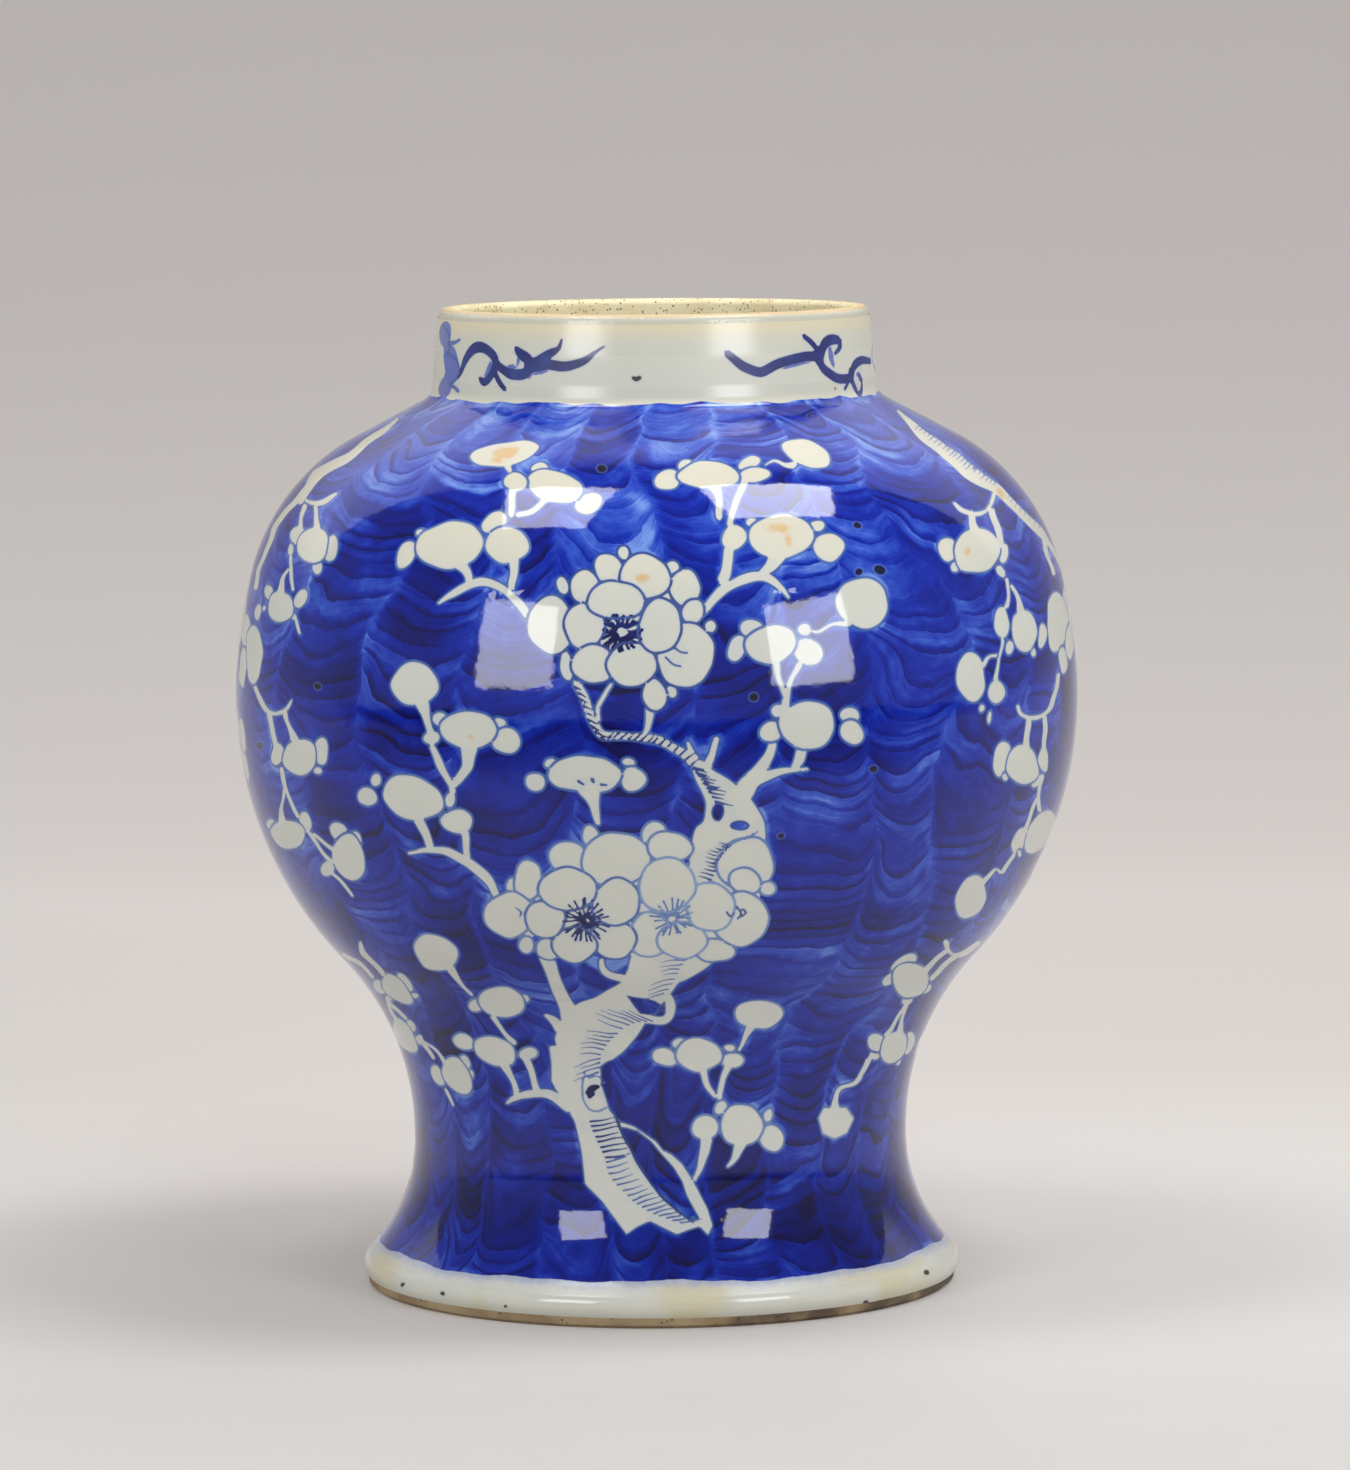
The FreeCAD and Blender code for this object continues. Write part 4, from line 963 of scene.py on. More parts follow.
def rim_of(places, left, right_seam):
    """The points on a panel's four edges, in order round it."""
    bottom, high = places[:, 1] < TINY, places[:, 1] > chart_rise[-1] - TINY
    between = ~bottom & ~high
    west = (np.abs(places[:, 0] - left) < TINY) & between
    east = (np.abs(places[:, 0] - right_seam) < TINY) & between
    sides = ((bottom, places[:, 0]), (east, places[:, 1]), (high, -places[:, 0]), (west, -places[:, 1]))
    return np.concatenate([np.nonzero(side)[0][np.argsort(order[side])] for side, order in sides])


def back_of(places, rim, left, right_seam):
    """The places of a panel's plainer back: its rim, a loose grid, and rows under the neck."""
    across = np.arange(left, right_seam, BACK_GAP)[1:]
    under_neck = rise_of(np.arange(*UNDER_NECK))
    rises = np.concatenate([np.arange(BACK_GAP, chart_rise[-1] - 0.03, BACK_GAP), under_neck])
    return np.vstack([places[rim], [(turn, rise) for turn in across for rise in rises]])


def note_distances(mesh, chosen, plain):
    """Stores the distances at a panel's points; its back has none, so it gets plain values."""
    column, climb = spots[:, 0] * COLUMNS / (2 * math.pi), at_rise(spots[:, 1], chart_climb)
    notes = (("white", white, -FAR), ("ink", ink, INK_FAR), ("depth", depth_of_ink, PLAIN_DEPTH),
             ("pale", pale, FAR), ("rust", rust, FAR), ("pit", pit, FAR), ("column", column, 0.0),
             ("climb", climb, 0.0))
    for title, values, rest in notes:
        held = np.concatenate([values[chosen], np.full(plain, rest)]).astype(np.float32)
        mesh.attributes.new(title, "FLOAT", "POINT").data.foreach_set("value", held)


def lay_flat(mesh, lay, painted_faces, left, right_seam):
    """The map for baking: the painted face on nearly all of the square, the back on a strip below it."""
    climbed = at_rise(lay[:, 1], chart_climb) / chart_climb[-1]
    flat = np.column_stack([(lay[:, 0] - left) / (right_seam - left), climbed])
    corner = np.array([loop.vertex_index for loop in mesh.loops])
    face_of = np.repeat(np.arange(len(mesh.polygons)), [len(face.vertices) for face in mesh.polygons])
    painted = (face_of < painted_faces)[:, None]
    flat = flat[corner] * (1 - 2 * SIDE_MARGIN, 1) + (SIDE_MARGIN, 0)
    flat = np.where(painted, flat * (1, PAINTED[1]) + (0, PAINTED[0]), flat * (1, BACK[1]) + (0, BACK[0]))
    mesh.uv_layers.new(name="OFBake").data.foreach_set("uv", flat.ravel().astype(np.float32))


def panel(name, left, right_seam):
    """One upright panel of painted glaze between two seams."""
    chosen = (spots[:, 0] > left - TINY) & (spots[:, 0] < right_seam + TINY)
    places = spots[chosen]
    faces = joined(places)
    rim = rim_of(places, left, right_seam)
    back_places = back_of(places, rim, left, right_seam)
    back_faces = joined(back_places)[:, ::-1] + len(places)
    after = np.roll(np.arange(len(rim)), -1)
    walls = np.column_stack([rim, np.arange(len(rim)) + len(places), after + len(places), rim[after]])
    front, front_normal = on_glaze(places)
    back, back_normal = on_glaze(back_places, SKIN)
    mesh = bpy.data.meshes.new(name)
    every_face = faces.tolist() + back_faces.tolist() + walls.tolist()
    mesh.from_pydata(np.vstack([front, back]).tolist(), [], every_face)
    mesh.shade_smooth()
    note_distances(mesh, chosen, len(back_places))
    lay_flat(mesh, np.vstack([places, back_places]), len(faces), left, right_seam)
    mesh.normals_split_custom_set_from_vertices(np.vstack([front_normal, -back_normal]).tolist())
    piece = bpy.data.objects.new(name, mesh)
    bpy.context.scene.collection.objects.link(piece)
    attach(piece, "root")
    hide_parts("outer_glaze")
    print(name, len(mesh.polygons), "facets")
    return piece


PANELS = ("painted_glaze_left", "painted_glaze_front", "painted_glaze_right", "painted_glaze_back")
panels = [panel(name, left, right_seam) for name, left, right_seam in zip(PANELS, SEAMS, SEAMS[1:])]

# %% [markdown]
# ## Sums with sockets
#
# A finish is worked out by small sums on masks and noise. Drawn as nodes, such sums are hard to
# read, so a small class wraps a socket and lets Python's own signs add the Math nodes. Everything
# else comes from one method that takes a node's type, its settings, which go first, and then its
# inputs.


# %% A socket that can be added up
class Wire:
    """A shader socket that Python can do sums with."""

    def __init__(self, finish, socket):
        self.finish, self.socket = finish, socket

    def maths(self, operation, *values):
        return self.finish.node("ShaderNodeMath", {"operation": operation}, dict(enumerate(values)))

    def times(self, factors):
        return self.finish.node("ShaderNodeVectorMath", {"operation": "MULTIPLY"}, {0: self, 1: factors})

    def __add__(self, other):
        return self.maths("ADD", self, other)

    def __sub__(self, other):
        return self.maths("SUBTRACT", self, other)

    def __rsub__(self, other):
        return self.maths("SUBTRACT", other, self)

    def __mul__(self, other):
        return self.maths("MULTIPLY", self, other)

    def __truediv__(self, other):
        return self.maths("DIVIDE", self, other)

    __radd__, __rmul__ = __add__, __mul__

    def least(self, other):
        return self.maths("MINIMUM", self, other)

    def most(self, other):
        return self.maths("MAXIMUM", self, other)

    def whole(self):
        return self.maths("FLOOR", self)


def colour(red, green, blue):
    """A colour as it is seen on a screen, from 0 to 255, as the shader wants it."""
    return tuple(((value / 255 + 0.055) / 1.055) ** 2.4 if value > 10 else value / 255 / 12.92
                 for value in (red, green, blue)) + (1.0,)


class Finish:
    """A material with one principled shader, or the world with its background."""

    def __init__(self, name, world=None):
        self.material = world or bpy.data.materials.new(name)
        self.material.use_nodes = True
        self.tree = self.material.node_tree
        self.shader = self.tree.nodes["Background" if world else "Principled BSDF"]

    def node(self, kind, settings=None, values=None, out=0):
        """Adds a node: its settings first, then its inputs by name or number."""
        made = self.tree.nodes.new(kind)
        for name, setting in (settings or {}).items():
            if name == "stops":
                while len(made.color_ramp.elements) < len(setting):
                    made.color_ramp.elements.new(0.5)
                for stop, (place, shade) in zip(made.color_ramp.elements, setting):
                    stop.position, stop.color = place, shade
            else:
                setattr(made, name, setting)
        for name, value in (values or {}).items():
            self.feed(made.inputs[name], value)
        return Wire(self, made.outputs[out])

    def feed(self, socket, value):
        if isinstance(value, Wire):
            self.tree.links.new(value.socket, socket)
        else:
            socket.default_value = value

    def step(self, value, low, high):
        """0 below low, 1 above high and a soft rise between; low may be the larger."""
        return self.node("ShaderNodeMapRange", {"interpolation_type": "SMOOTHSTEP"},
                         {"Value": value, "From Min": low, "From Max": high})

    def noise(self, where, scale, detail=2.0, rough=0.5):
        return self.node("ShaderNodeTexNoise", None,
                         {"Vector": where, "Scale": scale, "Detail": detail, "Roughness": rough})

    def sway(self, where, scale, detail=2.0, rough=0.5):
        """Noise that goes as far below zero as above it."""
        return self.noise(where, scale, detail, rough) - 0.5

    def spot(self, x, y, z):
        """A made-up place, for noise that follows a stroke and not the object."""
        return self.node("ShaderNodeCombineXYZ", None, {0: x, 1: y, 2: z})

    def chance(self, x, y, z):
        """A fixed random number for three whole numbers."""
        return self.node("ShaderNodeTexWhiteNoise", {"noise_dimensions": "3D"},
                         {"Vector": self.spot(x, y, z)})

    def grain(self, where, scale):
        """How far it is to the nearest of many scattered grains."""
        return self.node("ShaderNodeTexVoronoi", None, {"Vector": where, "Scale": scale})

    def grain_luck(self, where, scale):
        """A random number that stays the same all round one grain."""
        shade = self.node("ShaderNodeTexVoronoi", None, {"Vector": where, "Scale": scale}, 1)
        return self.node("ShaderNodeSeparateColor", None, {0: shade})

    def mix(self, share, under, over):
        return self.node("ShaderNodeMix", {"data_type": "RGBA"}, {0: share, 6: under, 7: over}, 2)

    def ramp(self, value, stops):
        return self.node("ShaderNodeValToRGB", {"stops": stops}, {0: value})

    def known(self, name):
        """A value stored at the mesh's points."""
        return self.node("ShaderNodeAttribute", {"attribute_name": name}, None, 2)

    def place(self):
        """Where a point is on the object, in metres."""
        return self.node("ShaderNodeTexCoord", None, None, 3)

    def part(self, place, axis):
        """One of a place's numbers: 0 across, 1 away from the camera and 2 up."""
        return self.node("ShaderNodeSeparateXYZ", None, {0: place}, axis)

    def ray(self, kind):
        """1 for rays of a kind: 0 from the camera, 3 mirrored and 6 let through."""
        return self.node("ShaderNodeLightPath", None, None, kind)

    def bump(self, height, strength, distance):
        return self.node("ShaderNodeBump", None,
                         {"Height": height, "Strength": strength, "Distance": distance})

    def give(self, **inputs):
        """Sets the shader's own sockets."""
        for name, value in inputs.items():
            self.feed(self.shader.inputs[name.replace("_", " ")], value)
        return self.material


print("mid grey on a screen is", round(colour(128, 128, 128)[0], 3), "in the shader")

# %% [markdown]
# ## Cobalt under glaze
#
# The ground was washed on in upright columns, each a stack of short curved strokes. A stroke starts
# loaded and dark at its lower edge, and fades upwards to where the next one covers it. So the wash
# is built the same way: the column and the climb tell which stroke a point lies in and how far up
# it, and every stroke gets its own strength and streaks. A cloud texture would give patches, but
# not this scale-like hand.

# %% The washed ground
COBALT = [(0.0, colour(106, 138, 208)), (0.2, colour(46, 78, 184)), (0.4, colour(12, 38, 156)),
          (0.58, colour(5, 22, 128)), (0.78, colour(8, 12, 94)), (1.0, colour(8, 4, 58))]
WANDER, TREMBLE = 2.2, 0.3  # over how many columns an edge strays, slowly and quickly
SAG, MORE_SAG = 15, 18  # a stroke's ends stand a quarter of the sag above its middle, in mm
LEAN, SLIP, FRAY = 30, 34, 4.6  # over how many mm strokes lean, slip past one another and fray
STROKE, MORE_STROKE = 4.3, 2.3  # the least height of a stroke, and how much luck may add, in mm
DEEPENS, PALES = (0.075, 0.02), (0.210, 0.236)  # metres up: towards the foot, and up the shoulder

porcelain = Finish("painted_glaze")
place = porcelain.place()
height = porcelain.part(place, 2)
column = (porcelain.known("column") + porcelain.sway(place, 16, 1) * WANDER
          + porcelain.sway(place, 75, 1) * TREMBLE)
lane = column.whole()
inside = column - lane - 0.5
key = lane.maths("FLOORED_MODULO", lane, COLUMNS)
luck = porcelain.chance(key, 3.0, 1.0)

climb = porcelain.known("climb")
drift = porcelain.sway(porcelain.spot(climb * 0.03, key * 5.3, inside * 0.5), 1.0, 1)
sag = (inside * inside) * (SAG + luck * MORE_SAG) + inside * drift * LEAN
ragged = porcelain.sway(place, 85, 3, 0.6) * FRAY
phase = (climb - sag + drift * SLIP + ragged) / (STROKE + luck * MORE_STROKE) + luck * 9
stroke = phase.whole()
load = porcelain.chance(stroke, key, 7.0)
loaded = porcelain.step(phase - stroke, 0.5, 0.0)
print("each stroke is", STROKE, "to", STROKE + MORE_STROKE, "mm high")

# %% How strong the blue is
batch = porcelain.sway(porcelain.spot(stroke * 0.36, key * 7.3, inside * 0.7), 1.0, 1)
streak = porcelain.sway(porcelain.spot(inside * 1.4, phase * 1.5, key * 3.7), 1.6, 3, 0.55)
bristle = porcelain.sway(porcelain.spot(inside * 3.2, phase * 7.5, key * 9.1), 1.6)
cloud = porcelain.sway(place, 24, 3, 0.6)
thin = porcelain.step(porcelain.noise(place, 37), 0.60, 0.74)
edge_of_lane = porcelain.step(inside * inside, 0.15, 0.25)
held = 1 - edge_of_lane * 0.8
white_gap = porcelain.known("white")
halo = porcelain.step(white_gap, 1.7, 0.3) * porcelain.step(porcelain.noise(place, 70), 0.46, 0.64)

by_place = porcelain.step(height, *DEEPENS) * 0.12 - porcelain.step(height, *PALES) * 0.27
by_stroke = (loaded - 0.35) * (0.07 + load * 0.36) * held + batch * held * 1.1
by_brush = streak * 0.4 + bristle * 0.2 + cloud * 0.74 + porcelain.sway(place, 330) * 0.22
left_out = thin * 0.2 + edge_of_lane * (0.08 + load * 0.16) + halo * 0.26
wash = porcelain.ramp(0.54 + by_place + by_stroke + by_brush - left_out, COBALT)
print("the wash has", len(porcelain.tree.nodes), "nodes")

# %% [markdown]
# ## White reserves and fine lines
#
# Over the wash come the reserves, which stay the colour of the clay under its glaze, with a faint
# blue bleed at their edges. Each edge is a soft step in the stored distance, a fraction of a
# millimetre wide. An image of the pattern would have to be huge to stay as crisp. The fine brush's
# lines go on top, paler where the brush ran dry.

# %% White reserves and brush lines
# pairs of whites that mottle the reserves, and the metres up over which one pair gives way to the next
WHITE = (colour(194, 196, 187), colour(205, 206, 196))
# the paler pair low down is painted light: it stands in for light bounced up from the floor onto the lower
# half
BOUNCE_LIT_WHITE = (colour(204, 206, 198), colour(216, 217, 208))
CREAM = (colour(200, 196, 179), colour(210, 206, 188))
NECK_WHITE = (colour(196, 196, 183), colour(206, 206, 191))
LOWER_HALF, SHOULDER, NECK, LIP = (0.15, 0.06), (0.185, 0.215), (0.234, 0.240), (0.2515, 0.2577)
FOOT_BAND, FOOT_EDGE, ABOVE_BAND = (0.0125, 0.010), (0.0125, 0.004), (0.016, 0.013)
INK = [(0.0, colour(150, 172, 208)), (0.35, colour(104, 136, 188)), (0.6, colour(54, 90, 160)),
       (0.85, colour(24, 38, 110)), (1.0, colour(14, 18, 70))]

mottle = porcelain.noise(place, 40, 3)
paper = porcelain.mix(mottle, *WHITE)
# painted light: over the lower half the whites turn paler, as if lit from the floor below; higher up they
# turn creamier
for belt, pair in ((LOWER_HALF, BOUNCE_LIT_WHITE), (SHOULDER, CREAM), (NECK, NECK_WHITE)):
    paper = porcelain.mix(porcelain.step(height, *belt), paper, porcelain.mix(mottle, *pair))
warm = porcelain.step(height, *LIP).most(porcelain.step(height, *FOOT_EDGE) * 0.2)
paper = porcelain.mix(warm * 0.7, paper, colour(222, 208, 170))
tea = porcelain.step(porcelain.noise(place, 26), 0.5, 0.62) * porcelain.step(height, *FOOT_BAND)
paper = porcelain.mix(tea * 0.5, paper, colour(206, 192, 142))

ink_gap, depth = porcelain.known("ink"), porcelain.known("depth")
soft = porcelain.sway(place, 420)
paper = porcelain.mix(porcelain.step(ink_gap, 0.6, 0.0) * depth * 0.3, paper, colour(112, 146, 200))
pale_fill = porcelain.step(porcelain.known("pale") + soft * 0.3, 0.15, -0.15)
paper = porcelain.mix(pale_fill * 0.92, paper, colour(78, 94, 172))
bleed = porcelain.step(white_gap + soft * 2.0, -2.4, 0.2) * porcelain.step(height, *ABOVE_BAND)
paper = porcelain.mix(bleed * 0.55, paper, colour(132, 150, 204))

body = porcelain.mix(porcelain.step(white_gap + soft * 0.35, -0.1, 0.1), paper, wash)
line_shade = porcelain.ramp(depth + porcelain.sway(place, 160) * 0.35, INK)
drawn = porcelain.step(ink_gap + soft * 0.12, 0.14, -0.14) * (0.72 + depth * 0.3).least(1.0)
body = porcelain.mix(drawn, body, line_shade)
print("with whites and lines it has", len(porcelain.tree.nodes), "nodes")

# %% [markdown]
# ## Kiln marks and the shine
#
# Stains, specks and pits go on last. A faint pale ring round each pit is the glaze drawn back from
# the burst bubble. The shine is even, apart from a belt round the neck and the upper edge of the
# foot, where the photograph's reflections break off. On the real neck a slight curve of the wall
# does that. A belt of duller glaze gives the same break and leaves the solid's shape alone.

# %% Stains, specks, pits and the shine
RUST, IRON = colour(204, 152, 52), colour(78, 52, 34)
PIT_RIM, PIT = colour(150, 176, 206), colour(16, 14, 20)
BAND = (0.012, 0.010)
# metres up over which the shine changes: on the neck, into and out of its dull belt, over the foot's lip
NECK_SHINE, INTO_BELT, OUT_OF_BELT = (0.2355, 0.2385), (0.2412, 0.2425), (0.2503, 0.2478)
LIP_TOP = (0.0078, 0.0090)

rusty = porcelain.step(porcelain.known("rust") + soft * 2.2, 0.6, -1.2)
body = porcelain.mix(rusty * 0.62, body, RUST)
speck, lucky = porcelain.grain(place, 62.0), porcelain.grain_luck(place, 62.0)
low_down = porcelain.step(height, *BAND)
iron = porcelain.step(speck, 0.05, 0.025) * porcelain.step(lucky + low_down * 0.42, 0.86, 0.88)
body = porcelain.mix(iron * 0.8, body, IRON)
pit_gap = porcelain.known("pit") + soft * 0.3
body = porcelain.mix(porcelain.step(pit_gap, 0.7, 0.3) * 0.12, body, PIT_RIM)
body = porcelain.mix(porcelain.step(pit_gap, 0.2, -0.2) * 0.95, body, PIT)

in_belt = porcelain.step(height, *INTO_BELT) * porcelain.step(height, *OUT_OF_BELT)
foot_shine = 0.07 + porcelain.step(height, *LIP_TOP) * (0.18 + tea * 0.1)
duller = porcelain.step(height, *NECK_SHINE) * 0.17 + in_belt * 0.27 + low_down * foot_shine
ripple = (porcelain.noise(place, 55) * 0.7 + porcelain.noise(place, 260) * 0.1
          + porcelain.noise(place, 650) * 0.035)
painted_glaze = porcelain.give(Base_Color=body, Roughness=0.05 + duller + iron * 0.3, IOR=1.5,
                               Normal=porcelain.bump(ripple, 0.35, 0.0006))
for piece in panels:
    piece.data.materials.append(painted_glaze)
print("the painted glaze has", len(porcelain.tree.nodes), "nodes")

# %% [markdown]
# ## Bare clay and plain glaze
#
# The rim, the inside of the neck and the ring it stands on have no glaze: fired clay, cream to tan,
# with iron specks. Inside and under the foot the glaze has no paint. These solids keep their own
# meshes and only get finishes, so nothing about their shape can drift.


# %% Clay
def clay(name, light, dark, grit, finer=700.0):
    """Bare fired porcelain clay: two tones and a share of iron grit."""
    finish = Finish(name)
    place = finish.place()
    tone = finish.mix(finish.step(finish.noise(place, 60, 4, 0.6), 0.35, 0.7), light, dark)
    near, pick = finish.grain(place, finer), finish.grain_luck(place, finer)
    speck = finish.step(near + pick * 0.2, 0.5, 0.36) * finish.step(pick, 1 - grit, 1.02 - grit)
    tone = finish.mix(speck * 0.8, tone, colour(96, 64, 34))
    rough = finish.noise(place, 700, 3, 0.6)
    return finish, place, tone, finish.bump(rough - speck * 0.5, 0.35, 0.0004)


# metres from the axis over which the glaze gives way to the bare lip, and metres up to the lip's top
GLAZED, TOP_EDGE, TOP = (0.0548, 0.0562), (0.0530, 0.0545), (0.2590, 0.2597)
finish, place, tone, grain = clay("bare_neck_clay", colour(250, 240, 200), colour(236, 218, 172), 0.5, 1050.0)
across = finish.node("ShaderNodeVectorMath", {"operation": "LENGTH"}, {0: place.times((1, 1, 0))}, 1)
skin = finish.step(across, *GLAZED)
tone = finish.mix(skin, tone, colour(200, 198, 182))
lip = finish.step(finish.part(place, 2), *TOP) * finish.step(across, *TOP_EDGE)
tone = finish.mix(lip * 0.8, tone, colour(216, 184, 132))
neck_clay = finish.give(Base_Color=tone, Roughness=0.6 - skin * 0.45, Normal=grain)

finish, place, tone, grain = clay("bare_foot_clay", colour(176, 156, 122), colour(140, 116, 84), 0.3)
soot = finish.step(finish.noise(place, 34, 4, 0.6) + finish.part(place, 0) * 2.2, 0.54, 0.68)
tone = finish.mix(soot * 0.75, tone, colour(58, 50, 44))
foot_clay = finish.give(Base_Color=tone, Roughness=0.75, Normal=grain)

finish, place, tone, grain = clay("body_clay", colour(218, 208, 184), colour(204, 192, 166), 0.08)
body_clay = finish.give(Base_Color=tone, Roughness=0.7, Normal=grain)

finish, place, tone, grain = clay("luting_slip", colour(212, 204, 184), colour(196, 186, 164), 0.04)
slip_clay = finish.give(Base_Color=tone, Roughness=0.6, Normal=grain)
print("four clays")

# %% Clear glaze, and a finish for every solid
clear = Finish("plain_glaze")
place = clear.place()
tone = clear.mix(clear.noise(place, 30, 3), colour(200, 204, 194), colour(214, 214, 202))
tone = clear.mix(clear.step(clear.grain(place, 110.0), 0.07, 0.03) * 0.7, tone, colour(92, 70, 44))
plain_glaze = clear.give(Base_Color=tone, Roughness=0.1, IOR=1.5,
                         Normal=clear.bump(clear.noise(place, 120), 0.3, 0.0005))

FINISHES = {"neck": neck_clay, "foot": foot_clay, "upper_body": body_clay, "lower_body": body_clay,
            "inner_glaze": plain_glaze, "base_glaze": plain_glaze, "neck_luting_slip": slip_clay,
            "belly_luting_slip": slip_clay, "waist_luting_slip": slip_clay, "outer_glaze": painted_glaze}
for name, material in FINISHES.items():
    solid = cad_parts[name]
    for slot in solid.material_slots:
        slot.material = material
print("finished", len(FINISHES), "solids")

# %% [markdown]
# ## The lamps
#
# The gloss shows how it was lit: two small soft boxes low at each side of the camera, and two large
# ones high up. Each box stands where a ray from the camera, mirrored in the glaze, leads. A single
# big light would shade the pot as well, but its reflection would be the wrong shape in the wrong
# place. Two dim pale walls far to the sides lift the vase's edges. They are kept out of the gloss,
# where the photograph shows none.


# %% Hang the lamps
def lamp(name, spot, aim, wide, high, power, turn=0):
    """A soft box that looks at a point, or straight down, turned by some degrees."""
    light = bpy.data.lights.new(name, "AREA")
    light.shape, light.size, light.size_y, light.energy = "RECTANGLE", wide, high, power
    made = bpy.data.objects.new(name, light)
    bpy.context.scene.collection.objects.link(made)
    made.location = spot
    made.rotation_euler = (0, 0, math.radians(turn))
    if aim:
        made.rotation_euler = (Vector(aim) - Vector(spot)).to_track_quat("-Z", "Y").to_euler()
    return made


SHOULDER_MIDDLE, BELLY_MIDDLE = (0, 0, 0.2), (0, 0, 0.15)
# name, place, aim, width, height, power and turn
BOXES = [("low_left_box", (-0.355, -0.495, 0.305), SHOULDER_MIDDLE, 0.22, 0.2, 1.02),
         ("low_right_box", (0.385, -0.470, 0.305), SHOULDER_MIDDLE, 0.23, 0.2, 1.12),
         ("high_left_box", (-0.30, -0.19, 0.95), None, 0.31, 0.38, 2.8, -25),
         ("high_right_box", (0.335, -0.12, 0.95), None, 0.38, 0.30, 4.0, 27)]
for row in BOXES:
    lamp(*row)
for side, power in ((-1, 4.2), (1, 5.0)):
    wall = lamp("pale_wall", (1.6 * side, -0.1, 0.6), BELLY_MIDDLE, 1.4, 1.2, power)
    wall.visible_glossy = wall.visible_camera = False
print(len(BOXES), "soft boxes and two pale walls")

# %% [markdown]
# ## Paper floor and backdrop
#
# The vase stands on one sheet of pale paper that curves up behind it, so no edge shows. The paper
# is a little paler than the lamps make it. That glow goes only to the camera and to rays mirrored
# or let through by the glaze, so it adds no light to the vase. Brighter lamps would reach the same
# paleness but wash out the blue. Seen from behind, the paper is left out, so that the vase can be
# looked at all round.

# %% Lay the paper
WIDE, NEAR, BEND, CURVE, TALL = 4.0, -3.0, 0.9, 1.2, 8.0
profile = [(y, 0.0) for y in (NEAR, -1.5, -0.5, 0.3, BEND)]
profile += [(BEND + CURVE * math.sin(turn), CURVE * (1 - math.cos(turn)))
            for turn in np.linspace(0.06, math.pi / 2, 24)]
profile.append((BEND + CURVE, CURVE + TALL))
points = [(side * WIDE, y, z) for y, z in profile for side in (-1, 1)]
stage = bpy.data.meshes.new("sweep")
stage.from_pydata(points, [], [(2 * i, 2 * i + 1, 2 * i + 3, 2 * i + 2) for i in range(len(profile) - 1)])
stage.shade_smooth()
sweep = bpy.data.objects.new("sweep", stage)
bpy.context.scene.collection.objects.link(sweep)
sweep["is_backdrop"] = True
print("the paper has", len(stage.polygons), "facets")

# %% The paper's tone and glow
# along the ramp, from in front of the vase to far up the backdrop, in units of light
GLOW = [(0.012, (0, 0, 0, 1)), (0.10, (0.10, 0.09, 0.085, 1)), (0.14, (0.165, 0.15, 0.14, 1)),
        (0.26, (0.297, 0.274, 0.26, 1)), (0.52, (0.425, 0.395, 0.38, 1)), (0.745, (0.35, 0.327, 0.312, 1)),
        (0.885, (0.285, 0.262, 0.25, 1)), (0.97, (0.262, 0.241, 0.228, 1))]
# metres up over which the paper out of the picture brightens, and then fades
BRIGHTENS, FADES = (0.6, 1.7), (3.6, 8.0)
# metres beside the vase over which a painted pool of light brightens the floor, and metres along Y where that
# starts and ends
RIGHT_SIDE, LEFT_SIDE, STARTS, ENDS = (0.03, 0.1), (-0.1, -0.2), (-0.3, -0.05), (0.4, 0.12)
IN_FRONT = (-0.05, -0.5)

backdrop = Finish("sweep_paper")
place = backdrop.place()
sideways, behind, up = (backdrop.part(place, axis) for axis in range(3))
glow = backdrop.ramp(behind * 0.5 + 0.1, GLOW)
glow = backdrop.mix(backdrop.step(up, *BRIGHTENS), glow, (0.95, 0.95, 1.0, 1))
glow = backdrop.mix(backdrop.step(up, *FADES), glow, (0.1, 0.1, 0.1, 1))
beside_it = backdrop.step(behind, *STARTS) * backdrop.step(behind, *ENDS)
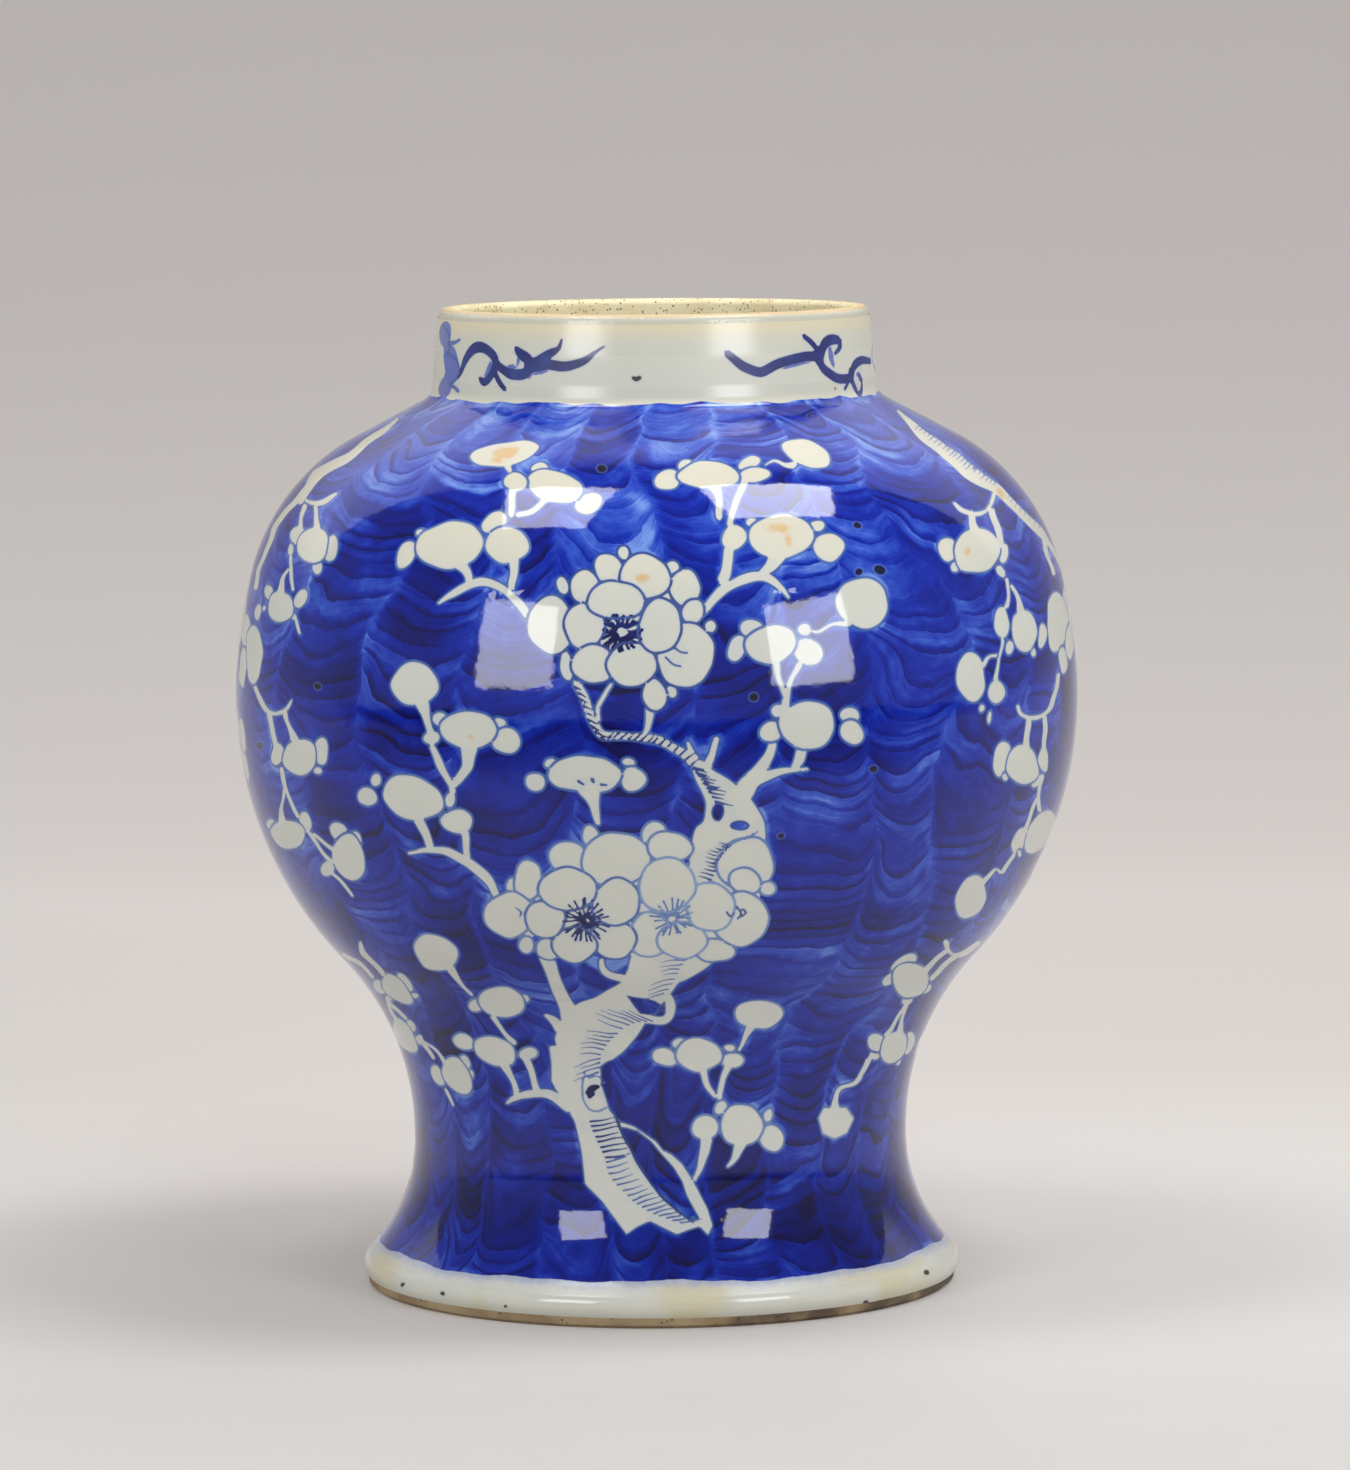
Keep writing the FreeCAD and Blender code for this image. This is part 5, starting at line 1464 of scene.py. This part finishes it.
# a painted pool of light on the floor beside the vase, stronger at the right, that lightens the vase's shadow
# there
painted_light_beside = (backdrop.step(sideways, *RIGHT_SIDE) * 0.08
            + backdrop.step(sideways, *LEFT_SIDE) * 0.045) * beside_it
glow = backdrop.node("ShaderNodeVectorMath", {"operation": "ADD"}, {0: glow, 1: painted_light_beside})
seen = backdrop.ray(0).most(backdrop.ray(3)).most(backdrop.ray(6))
pale_paper = backdrop.mix(backdrop.noise(place, 30), colour(197, 193, 189), colour(199, 195, 191))
# painted shade: only to mirrored rays, the paper in front of the vase is darker, which dims its reflection in
# the glaze
painted_shade_in_front = backdrop.step(behind, *IN_FRONT) * backdrop.ray(3)
backdrop.give(Roughness=0.95, Base_Color=backdrop.mix(painted_shade_in_front * 0.35, pale_paper, colour(70, 68, 66)),
              Emission_Color=backdrop.mix(seen, (0, 0, 0, 1), glow), Emission_Strength=1.0,
              Alpha=1 - backdrop.node("ShaderNodeNewGeometry", None, None, 6))
stage.materials.append(backdrop.material)
print("the paper's finish has", len(backdrop.tree.nodes), "nodes")

# %% [markdown]
# ## The room
#
# The rest of the room only fills the shadows, so it is dim and even. To mirrored rays it is paler
# near the horizon, as a far wall would be. A picture of a real room would put windows and corners
# into the gloss that the photograph doesn't show.

# %% The room behind the camera
# the height of a mirrored ray, as a share of its length, over which the far wall fades in
HORIZON = (0.6, 0.0)
room = Finish("room", bpy.data.worlds.new("room"))
far_wall = room.step(room.part(room.node("ShaderNodeTexCoord"), 2), *HORIZON) * room.ray(3)
room.give(Color=room.mix(far_wall, (0.2375, 0.2425, 0.25, 1), (0.4275, 0.4365, 0.45, 1)), Strength=1.0)
bpy.context.scene.world = room.material
bpy.context.scene.view_settings.view_transform = "Standard"
print("the room has", len(room.tree.nodes), "nodes")

# %% [markdown]
# ## The size once more
#
# The dressed vase has to fill the same box as its solids, or something stands in the wrong place.
# We measure everything now and print its box.

# %% Measure the dressed vase
low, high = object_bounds()
print("dressed", [round(value, 4) for value in (*low, *high)])
